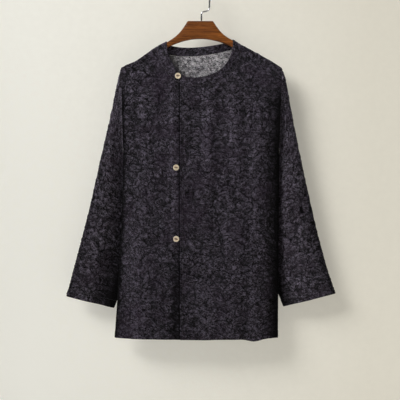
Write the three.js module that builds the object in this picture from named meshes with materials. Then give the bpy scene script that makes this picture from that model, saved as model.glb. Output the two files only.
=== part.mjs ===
// A collarless shirt of crinkled jacquard with a buttoned wrap front, hung flat on a wooden hanger.
// Sizes are in millimetres, +Z is up, the front faces -Y and the wearer's left is at +X.
// The origin is the underside of the hook's top, where it hangs on a rail or a wall hook.
import * as THREE from "three";

const { lerp, clamp, smoothstep } = THREE.MathUtils;
const vec = (x, y, z) => new THREE.Vector3(x, y, z);

// Cloth
const CLOTH = 1.2; // wall of every piece
const SEAM = 0.3; // gap between two pieces that are sewn together
const PLY_GAP = 0.6; // gap where the wrapped front lies over the other one
const ON_CREST = 0.01; // drop below the crest that still counts as on it
const SLOPE_STEP = 0.05; // distance over which the cloth's slope is measured
const FRONT = -1;
const BACK = 1;

// The crest that the shoulders and the neck make over the hanger, from the wearer's right to the left
const CREST = [
  { x: -204.9, z: -213.2 },
  { x: -164.6, z: -194.6 },
  { x: -113.1, z: -158.3 },
  { x: -87.6, z: -144.6 },
  { x: 84.2, z: -139.9 },
  { x: 106.3, z: -153.7 },
  { x: 184.6, z: -196.2 },
  { x: 211.1, z: -213.7 },
];

// Side edges of the body, from the shoulder's tip past the underarm to the hem
const SIDES = {
  right: [
    { z: -213.2, x: -204.9 },
    { z: -427, x: -200.2 },
    { z: -613, x: -204.4 },
    { z: -786, x: -213.8 },
    { z: -914.5, x: -222.6 },
  ],
  left: [
    { z: -213.7, x: 211.1 },
    { z: -427, x: 204.6 },
    { z: -613, x: 204 },
    { z: -786, x: 202.6 },
    { z: -914.5, x: 201.8 },
  ],
};
const UNDERARM_Z = -427;
const HEM = { z: -914.5, sag: 3, fluteX: 139, fluteDrop: 5.5, fluteWidth: 22 };

// How deep the hung body is, measured from the hanger's middle plane
const SADDLE = { radius: 8.6, power: 3 }; // over the hanger's arm
const HANG_LENGTH = 150; // drop over which the cloth comes away from the hanger
const BODY_DEPTH = { [FRONT]: 34, [BACK]: 20 };
const ARMHOLE_DEPTH = { [FRONT]: 25, [BACK]: 20 };
const ARMHOLE_CLOSING = { late: 5, round: 0.4 }; // the armhole's two faces meet at the underarm

// The body's section: open at the armholes, round at the side seams. Powers of a superellipse.
const SECTION = {
  topZ: -330,
  atArmhole: { square: 8, closing: 1 },
  atSide: { square: 2.6, closing: 0.385 },
};

// The neck: half superellipses from each shoulder to the lowest point of the front and of the back
const NECK_X = -26.8;
const NECK = {
  right: { seamX: -113.1, edgeX: -87.6, seamZ: -158.3, edgeZ: -144.6, [FRONT]: 1.75, [BACK]: 2.3 },
  left: { seamX: 106.3, edgeX: 84.2, seamZ: -153.7, edgeZ: -139.9, [FRONT]: 2.4, [BACK]: 1.5 },
};
const NECK_LOW = {
  [FRONT]: { seam: -263, edge: -241 },
  [BACK]: { seam: -183.5, edge: -160.4 },
};

// The wrap: the wearer's left front lies over the right one
const WRAP = { edgeX: -52, underX: NECK_X, flatTo: -18, liftEnd: 50, lift: CLOTH + PLY_GAP };

// Soft folds of the body: a line in the front view, half its width, and its height (a trough is negative).
// They begin at a drop below the crest.
const FOLDS_BEGIN = { none: 8, full: 60 };
const FOLDS = [
  { face: FRONT, fromX: 82, fromZ: -225, toX: 18, toZ: -292, width: 9, height: 3.2 },
  { face: FRONT, fromX: 80, fromZ: -246, toX: 26, toZ: -304, width: 10, height: -3 },
  { face: FRONT, fromX: 30, fromZ: -215, toX: 18, toZ: -560, width: 16, height: 2.6 },
  { face: FRONT, fromX: 82, fromZ: -200, toX: 88, toZ: -470, width: 17, height: 3 },
  { face: FRONT, fromX: 150, fromZ: -260, toX: 142, toZ: -700, width: 20, height: 2.8 },
  { face: FRONT, fromX: 112, fromZ: -760, toX: 111, toZ: -935, width: 12, height: -3.4 },
  { face: FRONT, fromX: 134, fromZ: -700, toX: 138, toZ: -940, width: 11, height: 4.2 },
  { face: FRONT, fromX: 176, fromZ: -300, toX: 180, toZ: -840, width: 12, height: -3 },
  { face: FRONT, fromX: -75, fromZ: -215, toX: -66, toZ: -640, width: 11, height: 2.4 },
  { face: FRONT, fromX: -128, fromZ: -300, toX: -136, toZ: -860, width: 18, height: 2.6 },
  { face: FRONT, fromX: -146, fromZ: -760, toX: -147, toZ: -935, width: 13, height: 3 },
  { face: FRONT, fromX: -168, fromZ: -250, toX: -176, toZ: -700, width: 13, height: -2.4 },
  { face: BACK, fromX: -60, fromZ: -230, toX: -90, toZ: -700, width: 18, height: 3 },
  { face: BACK, fromX: 52, fromZ: -220, toX: 74, toZ: -620, width: 17, height: 3.4 },
  { face: BACK, fromX: 4, fromZ: -260, toX: -6, toZ: -820, width: 20, height: -2.6 },
  { face: BACK, fromX: 112, fromZ: -560, toX: 118, toZ: -935, width: 15, height: 3.4 },
  { face: BACK, fromX: -108, fromZ: -640, toX: -120, toZ: -935, width: 16, height: -2.8 },
];

// Sleeves: a row for each section, with its outer end, its inner end and its depth to either face.
// Below the underarm the inner end is tucked behind the body.
const SLEEVES = {
  right: [
    { outX: -205.2, outY: 0, outZ: -213.2, inX: -200.5, inY: 0, inZ: -427, front: 14, back: 14 },
    { outX: -216.6, outY: 1, outZ: -257.7, inX: -201.8, inY: 12, inZ: -444, front: 14, back: 16 },
    { outX: -234.2, outY: 3, outZ: -341.6, inX: -198, inY: 25, inZ: -478, front: 15, back: 19 },
    { outX: -256.4, outY: 5, outZ: -438, inX: -187, inY: 34, inZ: -527, front: 17, back: 21 },
    { outX: -281, outY: 6, outZ: -547, inX: -177, inY: 38, inZ: -598, front: 18, back: 21 },
    { outX: -306, outY: 6, outZ: -648, inX: -179, inY: 35, inZ: -686, front: 17, back: 19 },
    { outX: -328.6, outY: 5, outZ: -734, inX: -197, inY: 27, inZ: -766, front: 15, back: 16 },
    { outX: -348.9, outY: 4, outZ: -807.6, inX: -225.4, inY: 13, inZ: -839, front: 12, back: 13 },
  ],
  left: [
    { outX: 211.4, outY: 0, outZ: -213.7, inX: 204.9, inY: 0, inZ: -427, front: 14, back: 14 },
    { outX: 223.5, outY: 1, outZ: -253, inX: 206.2, inY: 12, inZ: -444, front: 14, back: 16 },
    { outX: 239, outY: 3, outZ: -338, inX: 201.5, inY: 25, inZ: -478, front: 15, back: 19 },
    { outX: 259.3, outY: 5, outZ: -439, inX: 189, inY: 34, inZ: -527, front: 17, back: 21 },
    { outX: 283, outY: 6, outZ: -547, inX: 176, inY: 38, inZ: -598, front: 18, back: 21 },
    { outX: 306, outY: 6, outZ: -646, inX: 174, inY: 35, inZ: -686, front: 17, back: 19 },
    { outX: 329, outY: 5, outZ: -731, inX: 190, inY: 27, inZ: -764, front: 15, back: 16 },
    { outX: 351.8, outY: 4, outZ: -800.5, inX: 216.8, inY: 13, inZ: -835, front: 12, back: 13 },
  ],
};
const SLEEVE_POWER = 2.3;
const SLEEVE_JOIN = 0.3; // share of the sleeve over which the armhole's form fades out

// Soft folds along a sleeve: place across it (-1 is the outer end), its stretch, half width and height
const SLEEVE_FOLDS = [
  { sleeve: "right", face: FRONT, across: -0.45, from: 0.08, to: 0.8, width: 0.2, height: 3 },
  { sleeve: "right", face: FRONT, across: 0.2, from: 0.35, to: 1, width: 0.22, height: -3 },
  { sleeve: "right", face: BACK, across: -0.2, from: 0.1, to: 0.85, width: 0.25, height: 3 },
  { sleeve: "left", face: FRONT, across: 0.05, from: 0.12, to: 0.9, width: 0.22, height: 3 },
  { sleeve: "left", face: FRONT, across: -0.55, from: 0.45, to: 1, width: 0.2, height: -2.4 },
  { sleeve: "left", face: BACK, across: 0.1, from: 0.1, to: 0.85, width: 0.25, height: 3 },
];

// Buttons on the under front, with their shank of thread, and the cord loops that hold them
const BUTTONS = [
  { x: -57.7, z: -237.4 },
  { x: -62.7, z: -474.2 },
  { x: -61.9, z: -657.3 },
];
const BUTTON = { radius: 7.8, thickness: 2.8, dish: 4.6, dishDepth: 0.8, bevel: 0.7, sides: 20 };
const SHANK = { radius: 1.5, height: 2.9 };
const LOOP_CORD = { radius: 1, clear: 0.5, sides: 8, steps: 18, bendSteps: 6 };

// Wooden hanger
const WOOD = {
  thickness: 12,
  bevel: 2.5,
  clear: 3.2, // from the crest of the cloth down to the arm
  topZ: -92.6,
  topHalf: 33,
  neckHalf: 86,
  neckBow: 11,
  archZ: -138.8,
  archCurve: 0.0031,
  armHeight: 19,
  tipHeight: 14,
  tipInset: 7,
  tipRound: { length: 5, from: 0.35, to: 0.7 }, // the tip's end lies between two shares of its height
  stations: 40,
};

// Hook of bent rod: up from the wood, a jog to the side, then the arc
const HOOK = {
  rod: 2.1,
  radius: 24,
  stemX: 3.1,
  jog: [
    { x: 3.1, z: -81 },
    { x: 5.1, z: -70 },
    { x: 18, z: -66 },
    { x: 23.5, z: -57 },
  ],
  tipDrop: 9,
  arcSteps: 10,
  sides: 10,
  steps: 40,
};

// How finely the cloth is divided
const ROWS_OVER_CREST = [0, 0.8, 3, 8, 18];
const ROWS_BELOW = 17;
const COLUMN_SPREAD = { by: 0.4, power: 0.6 }; // columns have spread fully at this share of their drop
const NECK_STEPS = 10;
const NECK_CLOSING = 2.2; // how fast the neckline's steps shorten towards the shoulder
const SHOULDER_STEPS = 5;
const BAND_STEPS = 2;
const WRAP_STEPS = 2; // from the wrap's edge to the neck's lowest point
const SLEEVE_RINGS = 15;
const RING_POINTS = 26;

// Value of a table's column at a place between its rows
function tableValue(rows, from, at, column) {
  const up = rows[0][from] < rows[rows.length - 1][from] ? 1 : -1;
  let i = 0;
  while (i < rows.length - 2 && (at - rows[i + 1][from]) * up > 0) i++;
  const share = clamp((at - rows[i][from]) / (rows[i + 1][from] - rows[i][from]), 0, 1);
  return lerp(rows[i][column], rows[i + 1][column], share);
}

// Evenly spaced values, with both ends
function steps(count, from = 0, to = 1) {
  return Array.from({ length: count + 1 }, (_, i) => lerp(from, to, i / count));
}

const crestZ = (x) => tableValue(CREST, "x", x, "z");
const sideX = (side, z) => tableValue(SIDES[side], "z", z, "x");
const sideOf = (x) => (x < 0 ? "right" : "left");

// Height of the folds at a point of the front or back
function foldHeight(x, z, face) {
  let height = 0;
  for (const fold of FOLDS) {
    if (fold.face !== face) continue;
    const along = vec(fold.toX - fold.fromX, 0, fold.toZ - fold.fromZ);
    const to = vec(x - fold.fromX, 0, z - fold.fromZ);
    const share = clamp(to.dot(along) / along.lengthSq(), 0, 1);
    const away = to.sub(along.clone().multiplyScalar(share)).length() / fold.width;
    const openEnd = fold.toZ < HEM.z;
    const ends = Math.sin(Math.PI * (openEnd ? share / 2 : share));
    height += fold.height * Math.exp(-away * away) * ends;
  }
  return height;
}

// Depth of cloth that comes away from the hanger by its full depth, at a drop below the crest
function hangDepth(drop, full) {
  const { radius, power } = SADDLE;
  if (drop < radius) return radius * Math.pow(1 - Math.pow(1 - drop / radius, power), 1 / power);
  return radius + (full - radius) * (1 - Math.exp(-(drop - radius) / HANG_LENGTH));
}

// How much of its depth the armhole keeps at a share of the way down to the underarm
function armholeOpen(share) {
  return Math.pow(1 - Math.pow(clamp(share, 0, 1), ARMHOLE_CLOSING.late), ARMHOLE_CLOSING.round);
}

// Depth of the body's outer surface from the middle plane
function bodyDepth(x, z, face) {
  const side = sideOf(x);
  const tipZ = SIDES[side][0].z;
  const drop = Math.max(crestZ(x) - z, 0);
  const out = Math.min(Math.abs(x / sideX(side, z)), 1);
  const rounding = 1 - smoothstep(z, UNDERARM_Z, SECTION.topZ);
  const power = (column) => lerp(SECTION.atArmhole[column], SECTION.atSide[column], rounding);
  const inside = Math.pow(1 - Math.pow(out, power("square")), power("closing"));
  const full = lerp(ARMHOLE_DEPTH[face], BODY_DEPTH[face], inside);
  const kept = lerp(armholeOpen((tipZ - z) / (tipZ - UNDERARM_Z)), 1, inside);
  const folds = foldHeight(x, z, face) * smoothstep(drop, FOLDS_BEGIN.none, FOLDS_BEGIN.full);
  return hangDepth(drop, full) * kept + folds * inside;
}

// The wrapped front is lifted over the other one beside its edge
const wrapLift = (x) => WRAP.lift * (1 - smoothstep(x, WRAP.flatTo, WRAP.liftEnd));

// A point of the body's cloth with the wall's outer and inner places there.
// On the crest, where the two faces meet, the wall stands straight up.
function clothPoint(x, z, face, lift = 0) {
  const step = SLOPE_STEP;
  const slopeX = (bodyDepth(x + step, z, face) - bodyDepth(x - step, z, face)) / (2 * step);
  const slopeZ = (bodyDepth(x, z + step, face) - bodyDepth(x, z - step, face)) / (2 * step);
  const onCrest = crestZ(x) - z < ON_CREST;
  const crestSlope = (crestZ(x + 1) - crestZ(x - 1)) / 2;
  const normal = onCrest ? vec(-crestSlope, 0, 1) : vec(-slopeX, face, -slopeZ);
  normal.normalize();
  const outer = vec(x, face * Math.max(bodyDepth(x, z, face) + lift, SEAM / 2), z);
  return { outer, inner: outer.clone().addScaledVector(normal, -CLOTH), normal };
}

// Turns the faces outwards if they point in
function facingOut(geometry) {
  const p = geometry.getAttribute("position");
  const index = geometry.index.array;
  const [a, b, c] = [vec(), vec(), vec()];
  let volume = 0;
  for (let i = 0; i < index.length; i += 3) {
    [a, b, c].forEach((v, k) => v.fromBufferAttribute(p, index[i + k]));
    volume += a.dot(b.cross(c));
  }
  for (let i = 0; i < index.length && volume < 0; i += 3) {
    [index[i], index[i + 1]] = [index[i + 1], index[i]];
  }
  geometry.computeVertexNormals();
  return geometry;
}

// A wall of cloth from a grid of points with outer and inner places. A ring's rows close on themselves.
function wallGeometry(grid, ring) {
  const rows = grid.length;
  const columns = grid[0].length;
  const at = (r, c, layer) => (layer * rows + r) * columns + (c % columns);
  const places = ["outer", "inner"].flatMap((layer) => grid.flatMap((row) => row.map((p) => p[layer])));
  const index = [];
  const quad = (a, b, c, d) => index.push(a, b, c, a, c, d);
  const across = ring ? columns : columns - 1;
  for (let r = 0; r < rows - 1; r++) {
    for (let c = 0; c < across; c++) {
      quad(at(r, c, 0), at(r + 1, c, 0), at(r + 1, c + 1, 0), at(r, c + 1, 0));
      quad(at(r, c, 1), at(r, c + 1, 1), at(r + 1, c + 1, 1), at(r + 1, c, 1));
    }
  }
  for (let c = 0; c < across; c++) {
    quad(at(0, c, 0), at(0, c + 1, 0), at(0, c + 1, 1), at(0, c, 1));
    quad(at(rows - 1, c, 0), at(rows - 1, c, 1), at(rows - 1, c + 1, 1), at(rows - 1, c + 1, 0));
  }
  for (let r = 0; r < rows - 1 && !ring; r++) {
    quad(at(r, 0, 0), at(r, 0, 1), at(r + 1, 0, 1), at(r + 1, 0, 0));
    const last = columns - 1;
    quad(at(r, last, 0), at(r + 1, last, 0), at(r + 1, last, 1), at(r, last, 1));
  }
  const geometry = new THREE.BufferGeometry().setFromPoints(places).setIndex(index);
  return facingOut(geometry);
}

// Half of the neckline from its lowest point (share 0) to the shoulder (share 1).
// The steps shorten towards the shoulder, where the line turns over the hanger.
function neckPoint(side, face, share, line) {
  const neck = NECK[side];
  const toX = line === "seam" ? neck.seamX : neck.edgeX;
  const toZ = line === "seam" ? neck.seamZ : neck.edgeZ;
  const turn = (Math.PI / 2) * (1 - Math.pow(1 - share, NECK_CLOSING));
  const power = 2 / neck[face];
  return {
    x: NECK_X + (toX - NECK_X) * Math.pow(Math.sin(turn), power),
    z: toZ + (NECK_LOW[face][line] - toZ) * Math.pow(Math.max(Math.cos(turn), 0), power),
  };
}

// Share of the half neckline at which its seam reaches an X
function neckShareAt(side, face, x) {
  const neck = NECK[side];
  const turn = Math.asin(Math.pow((x - NECK_X) / (neck.seamX - NECK_X), neck[face] / 2));
  return 1 - Math.pow(1 - turn / (Math.PI / 2), 1 / NECK_CLOSING);
}

// Top edge of a half panel from the neck's lowest point to the shoulder's tip
function halfTop(side, face, fromShare = 0) {
  const tip = SIDES[side][0];
  const seam = NECK[side].seamX;
  const neck = steps(NECK_STEPS, fromShare).map((share) => neckPoint(side, face, share, "seam"));
  const shoulder = steps(SHOULDER_STEPS, seam, tip.x).slice(1);
  return [...neck, ...shoulder.map((x) => ({ x, z: crestZ(x) }))];
}

function hemZ(x, face) {
  const out = x / sideX(sideOf(x), HEM.z);
  const flute = face === FRONT ? Math.exp(-(((x - HEM.fluteX) / HEM.fluteWidth) ** 2)) : 0;
  return HEM.z - HEM.sag * (1 - out * out) - HEM.fluteDrop * flute;
}

// A panel hangs from its top edge to the hem. Its columns spread from the neck towards the side edges,
// where they lie closer; spread gives each column's place as a share of the way to its side edge.
// A panel on one side only counts the shares towards that side; on a whole one they are below 0 to the right.
function panel(name, top, spread, face, lift, colour, onlySide) {
  const widthAt = (share, z) => (onlySide ? sideX(onlySide, z) : Math.abs(sideX(sideOf(share), z)));
  const columns = top.map((start, i) => {
    const startOut = start.x / widthAt(start.x, start.z);
    const hem = hemZ(spread[i] * widthAt(spread[i], HEM.z), face);
    const below = steps(ROWS_BELOW).slice(1);
    const crestDrop = ROWS_OVER_CREST[ROWS_OVER_CREST.length - 1];
    const heights = [
      ...ROWS_OVER_CREST.map((drop) => start.z - drop),
      ...below.map((share) => lerp(start.z - crestDrop, hem, share)),
    ];
    return heights.map((z) => {
      const down = (start.z - z) / (start.z - hem);
      const reached = Math.min(Math.pow(down / COLUMN_SPREAD.by, COLUMN_SPREAD.power), 1);
      const out = lerp(startOut, spread[i], reached);
      const x = out * widthAt(out, z);
      return clothPoint(x, z, face, lift(x));
    });
  });
  const rows = columns[0].map((_, r) => columns.map((column) => column[r]));
  return cloth(name, wallGeometry(rows, false), colour);
}

// Shares from a first one to the side edge, closer together towards the edge
const spreadTo = (from, count) => steps(count, 0, Math.PI / 2).map((turn) => lerp(from, 1, Math.sin(turn)));

// Shares of the right half neckline from the wrap's edge towards the neck's lowest point
const wrapShares = () => steps(WRAP_STEPS, neckShareAt("right", FRONT, WRAP.edgeX), 0).slice(0, -1);

function frontLeft() {
  const beyond = wrapShares().map((share) => neckPoint("right", FRONT, share, "seam"));
  const top = [...beyond, ...halfTop("left", FRONT)];
  const spread = spreadTo(WRAP.edgeX / sideX("left", HEM.z), top.length - 1);
  return panel("front_left", top, spread, FRONT, wrapLift, "#2d2a30", "left");
}

function frontRight() {
  const top = halfTop("right", FRONT);
  const spread = spreadTo(WRAP.underX / sideX("right", HEM.z), top.length - 1);
  return panel("front_right", top, spread, FRONT, () => 0, "#2b292e", "right");
}

function backPanel() {
  const right = halfTop("right", BACK);
  const left = halfTop("left", BACK);
  const top = [...right.reverse(), ...left.slice(1)];
  const middle = NECK_X / sideX("right", HEM.z);
  const toRight = spreadTo(middle, right.length - 1).map((share) => -share);
  const spread = [...toRight.reverse(), ...spreadTo(-middle, left.length - 1).slice(1)];
  return panel("back_panel", top, spread, BACK, () => 0, "#2a282d");
}

// The neckband runs from the wrap's edge round the back of the neck to its hidden end under the wrap
function neckband() {
  const station = (side, face, share, lifted) => {
    const seam = neckPoint(side, face, share, "seam");
    const edge = neckPoint(side, face, share, "edge");
    const gap = SEAM / Math.hypot(edge.x - seam.x, edge.z - seam.z);
    return steps(BAND_STEPS, gap, 1).map((part) => {
      const x = lerp(seam.x, edge.x, part);
      const z = lerp(seam.z, edge.z, part);
      return bandPoint(x, z, face, lifted ? wrapLift(x) : 0);
    });
  };
  const shares = steps(NECK_STEPS);
  const back = [...shares].reverse();
  const grid = [
    ...wrapShares().map((share) => station("right", FRONT, share, true)),
    ...shares.map((share) => station("left", FRONT, share, true)),
    ...back.slice(1).map((share) => station("left", BACK, share, false)),
    ...shares.slice(1).map((share) => station("right", BACK, share, false)),
    ...back.slice(1).map((share) => station("right", FRONT, share, false)),
  ];
  return cloth("neckband", wallGeometry(grid, false), "#2c292f");
}

// A point of the neckband. On the crest it lies over the hanger's middle plane.
function bandPoint(x, z, face, lift) {
  const point = clothPoint(x, z, face, lift);
  if (crestZ(x) - z < ON_CREST) [point.outer.y, point.inner.y] = [0, 0];
  return point;
}

// Height of a sleeve's folds at a place across it and a share of its length
function sleeveFold(side, face, across, share) {
  let height = 0;
  for (const fold of SLEEVE_FOLDS) {
    if (fold.sleeve !== side || fold.face !== face) continue;
    const along = clamp((share - fold.from) / (fold.to - fold.from), 0, 1);
    const ends = Math.sin(Math.PI * (fold.to === 1 ? along / 2 : along));
    height += fold.height * Math.exp(-(((across - fold.across) / fold.width) ** 2)) * ends;
  }
  return height;
}

// One section of a sleeve: a flattened ring about the line from its outer to its inner end
function sleeveRing(side, share, curves) {
  const outEnd = curves.out.getPoint(share);
  const inEnd = curves.in.getPoint(share);
  const depth = curves.depth.getPoint(share);
  const joined = 1 - smoothstep(share, 0, SLEEVE_JOIN);
  return Array.from({ length: RING_POINTS }, (_, i) => {
    const turn = (2 * Math.PI * i) / RING_POINTS;
    const face = Math.sin(turn) > 0 ? FRONT : BACK;
    const across = -Math.sign(Math.cos(turn)) * Math.pow(Math.abs(Math.cos(turn)), 2 / SLEEVE_POWER);
    const inward = (across + 1) / 2;
    const point = outEnd.clone().lerp(inEnd, inward);
    const free = (face === FRONT ? depth.x : depth.y) * Math.pow(Math.abs(Math.sin(turn)), 2 / SLEEVE_POWER);
    const drop = (outEnd.z - inEnd.z) * inward;
    const sewn = hangDepth(drop, ARMHOLE_DEPTH[face]) * armholeOpen(inward);
    const fold = sleeveFold(side, face, across, share) * Math.abs(Math.sin(turn));
    point.y += face * (lerp(free, sewn, joined) + fold);
    return point;
  });
}

function sleeve(side) {
  const rows = SLEEVES[side];
  const curve = (pick) => new THREE.CatmullRomCurve3(rows.map(pick), false, "catmullrom", 0.5);
  const curves = {
    out: curve((r) => vec(r.outX, r.outY, r.outZ)),
    in: curve((r) => vec(r.inX, r.inY, r.inZ)),
    depth: curve((r) => vec(r.front, r.back, 0)),
  };
  const rings = steps(SLEEVE_RINGS).map((share) => sleeveRing(side, share, curves));
  const middle = (ring) => ring.reduce((sum, p) => sum.add(p), vec()).divideScalar(ring.length);
  const grid = rings.map((ring, r) => {
    const centre = middle(ring);
    const before = rings[Math.max(r - 1, 0)];
    const after = rings[Math.min(r + 1, rings.length - 1)];
    return ring.map((outer, i) => {
      const round = ring[(i + 1) % ring.length].clone().sub(ring[(i + ring.length - 1) % ring.length]);
      const down = r === 0 ? vec(outer.x < 0 ? -1 : 1, 0, 0) : after[i].clone().sub(before[i]);
      const normal = round.cross(down).normalize();
      if (normal.dot(outer.clone().sub(centre)) < 0) normal.negate();
      return { outer, inner: outer.clone().addScaledVector(normal, -CLOTH) };
    });
  });
  return cloth(`sleeve_${side}`, wallGeometry(grid, true), "#2b282d");
}

function material(color, roughness, metalness = 0) {
  return new THREE.MeshStandardMaterial({ color, roughness, metalness });
}

function named(name, geometry, look) {
  const mesh = new THREE.Mesh(geometry, look);
  mesh.name = name;
  return mesh;
}

const cloth = (name, geometry, colour) => named(name, geometry, material(colour, 0.85));

// A button on its shank, turned about its own axis, then set on the under front
function button(number, { x, z }) {
  const { radius, thickness, dish, dishDepth, bevel, sides } = BUTTON;
  const low = SEAM + SHANK.height;
  const high = low + thickness;
  const profile = [
    [0, SEAM],
    [SHANK.radius, SEAM],
    [SHANK.radius, low],
    [radius - bevel, low],
    [radius, low + bevel],
    [radius, high - bevel],
    [radius - bevel, high],
    [dish, high],
    [dish - dishDepth, high - dishDepth],
    [0, high - dishDepth],
  ].map(([r, y]) => new THREE.Vector2(r, y));
  const mesh = named(`button_${number}`, new THREE.LatheGeometry(profile, sides), material("#c9b59a", 0.4));
  const seat = clothPoint(x, z, FRONT);
  mesh.position.copy(seat.outer);
  mesh.quaternion.setFromUnitVectors(vec(0, 1, 0), seat.normal);
  return mesh;
}

// A cord loop from the wrap's edge round the button's shank
function loop(number, { x, z }) {
  const seat = clothPoint(x, z, FRONT);
  const toEdge = vec(1, 0, 0).projectOnPlane(seat.normal).normalize();
  const up = seat.normal.clone().cross(toEdge).normalize();
  const bend = SHANK.radius + SEAM + LOOP_CORD.radius;
  const reach = (WRAP.edgeX - 2 * SEAM - x) / toEdge.x;
  const place = (a, b) => {
    const at = seat.outer.clone().addScaledVector(toEdge, a).addScaledVector(up, b);
    at.y = -bodyDepth(at.x, at.z, FRONT) - LOOP_CORD.radius - LOOP_CORD.clear;
    return at;
  };
  const arc = steps(LOOP_CORD.bendSteps, Math.PI / 2, (3 * Math.PI) / 2);
  const path = new THREE.CatmullRomCurve3([
    place(reach, bend),
    ...arc.map((turn) => place(bend * Math.cos(turn), bend * Math.sin(turn))),
    place(reach, -bend),
  ]);
  return named(`loop_${number}`, rod(path, LOOP_CORD), material("#1c1a1e", 0.8));
}

// A rod of round section along a path
function rod(path, { radius, sides, steps: count }) {
  const section = new THREE.Shape(
    Array.from({ length: sides }, (_, i) => {
      const turn = (2 * Math.PI * i) / sides;
      return new THREE.Vector2(radius * Math.cos(turn), radius * Math.sin(turn));
    }),
  );
  return new THREE.ExtrudeGeometry(section, { steps: count, extrudePath: path });
}

// Top and bottom edges of the wood at an X
function woodTop(x) {
  const out = Math.abs(x);
  if (out <= WOOD.topHalf) return WOOD.topZ;
  const armZ = crestZ(x) - WOOD.clear;
  if (out >= WOOD.neckHalf) return armZ;
  const share = (out - WOOD.topHalf) / (WOOD.neckHalf - WOOD.topHalf);
  const neckZ = crestZ(Math.sign(x) * WOOD.neckHalf) - WOOD.clear;
  return lerp(WOOD.topZ, neckZ, share) - WOOD.neckBow * Math.sin(Math.PI * share) * (1 - share / 2);
}

function woodBottom(x) {
  const out = Math.abs(x);
  if (out <= WOOD.neckHalf) return WOOD.archZ - WOOD.archCurve * x * x;
  const tip = Math.abs(SIDES[sideOf(x)][0].x) - WOOD.tipInset;
  const height = lerp(WOOD.armHeight, WOOD.tipHeight, (out - WOOD.neckHalf) / (tip - WOOD.neckHalf));
  return woodTop(x) - height;
}

function hangerBody() {
  const { bevel, thickness, tipInset, tipRound, stations } = WOOD;
  const tips = [SIDES.right[0].x + tipInset, SIDES.left[0].x - tipInset];
  const places = steps(stations, ...tips);
  const tipEnd = (x, way) => {
    const top = woodTop(x - way * tipRound.length);
    const bottom = woodBottom(x - way * tipRound.length);
    return [tipRound.from, tipRound.to].map((share) => new THREE.Vector2(x, lerp(top, bottom, share)));
  };
  const inner = places.slice(1, -1);
  const outline = [
    ...inner.map((x) => new THREE.Vector2(x, woodTop(x))),
    ...tipEnd(tips[1], 1),
    ...[...inner].reverse().map((x) => new THREE.Vector2(x, woodBottom(x))),
    ...tipEnd(tips[0], -1).reverse(),
  ];
  const geometry = new THREE.ExtrudeGeometry(new THREE.Shape(outline), {
    depth: thickness - 2 * bevel,
    bevelThickness: bevel,
    bevelSize: bevel,
    bevelOffset: -bevel,
    bevelSegments: 2,
  });
  geometry.translate(0, 0, bevel - thickness / 2);
  geometry.rotateX(Math.PI / 2);
  return named("hanger_body", geometry, material("#6d411e", 0.35));
}

function hangerHook() {
  const { rod: half, radius, stemX, jog, tipDrop, arcSteps } = HOOK;
  const centreZ = half - radius;
  const arc = steps(arcSteps, 0, Math.PI).map((turn) => ({
    x: radius * Math.cos(turn),
    z: centreZ + radius * Math.sin(turn),
  }));
  const places = [
    { x: stemX, z: WOOD.topZ + SEAM },
    ...jog,
    ...arc,
    { x: -radius, z: centreZ - tipDrop },
  ];
  const path = new THREE.CatmullRomCurve3(places.map(({ x, z }) => vec(x, 0, z)), false, "centripetal");
  const geometry = rod(path, { radius: half, sides: HOOK.sides, steps: HOOK.steps });
  return named("hanger_hook", geometry, material("#b9babb", 0.15, 1));
}

const shirt = new THREE.Group();
shirt.add(backPanel(), frontLeft(), frontRight(), sleeve("left"), sleeve("right"), neckband());
BUTTONS.forEach((place, i) => shirt.add(button(i + 1, place), loop(i + 1, place)));

const hanger = new THREE.Group();
hanger.add(hangerBody(), hangerHook());

const shirtOnHanger = new THREE.Group();
shirtOnHanger.add(shirt, hanger);

export default shirtOnHanger;
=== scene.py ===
# The looks of a collarless jacquard shirt with a wrapped front, on a wooden hanger.
# Tables and sizes of the garment are in millimetres and become metres as each mesh is made.
# +Z is up, the front faces -Y and the wearer's left is at +X.
import math

import bmesh
import bpy
import numpy as np
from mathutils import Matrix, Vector


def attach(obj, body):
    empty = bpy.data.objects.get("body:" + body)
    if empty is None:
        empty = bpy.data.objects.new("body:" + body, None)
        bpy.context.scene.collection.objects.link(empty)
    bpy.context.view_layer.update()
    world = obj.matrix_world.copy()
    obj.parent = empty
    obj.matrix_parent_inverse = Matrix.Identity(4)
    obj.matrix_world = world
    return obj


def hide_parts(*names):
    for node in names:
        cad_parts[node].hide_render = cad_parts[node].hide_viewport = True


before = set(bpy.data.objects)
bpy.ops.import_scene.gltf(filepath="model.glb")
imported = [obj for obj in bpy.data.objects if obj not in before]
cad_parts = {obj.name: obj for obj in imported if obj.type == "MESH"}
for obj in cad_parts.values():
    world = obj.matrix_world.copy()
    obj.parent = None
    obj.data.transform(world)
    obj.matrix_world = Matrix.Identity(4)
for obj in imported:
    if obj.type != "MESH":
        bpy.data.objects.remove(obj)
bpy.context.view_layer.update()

MM = 0.001
FRONT, BACK = -1, 1
RIGHT, LEFT = "right", "left"

# Cloth
CLOTH = 1.2
BAND_CLOTH = 1.8
SEAM = 0.3
PLY_GAP = 0.6
ON_CREST = 0.01
SLOPE_STEP = 0.05

# The crest of the shoulders over the hanger, x and z
CREST = np.array([
    (-204.9, -213.2), (-164.6, -194.6), (-113.1, -158.3), (-87.6, -144.6),
    (84.2, -139.9), (106.3, -153.7), (184.6, -196.2), (211.1, -213.7),
])

# Side edges of the body, z and x
SIDES = {
    RIGHT: np.array([
        (-213.2, -204.9), (-427, -200.2), (-613, -204.4), (-786, -213.8), (-914.5, -222.6),
    ]),
    LEFT: np.array([
        (-213.7, 211.1), (-427, 204.6), (-613, 204), (-786, 202.6), (-914.5, 201.8),
    ]),
}
UNDERARM_Z = -427
HEM = dict(z=-914.5, sag=3, flute_x=139, flute_drop=5.5, flute_width=22)

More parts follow.
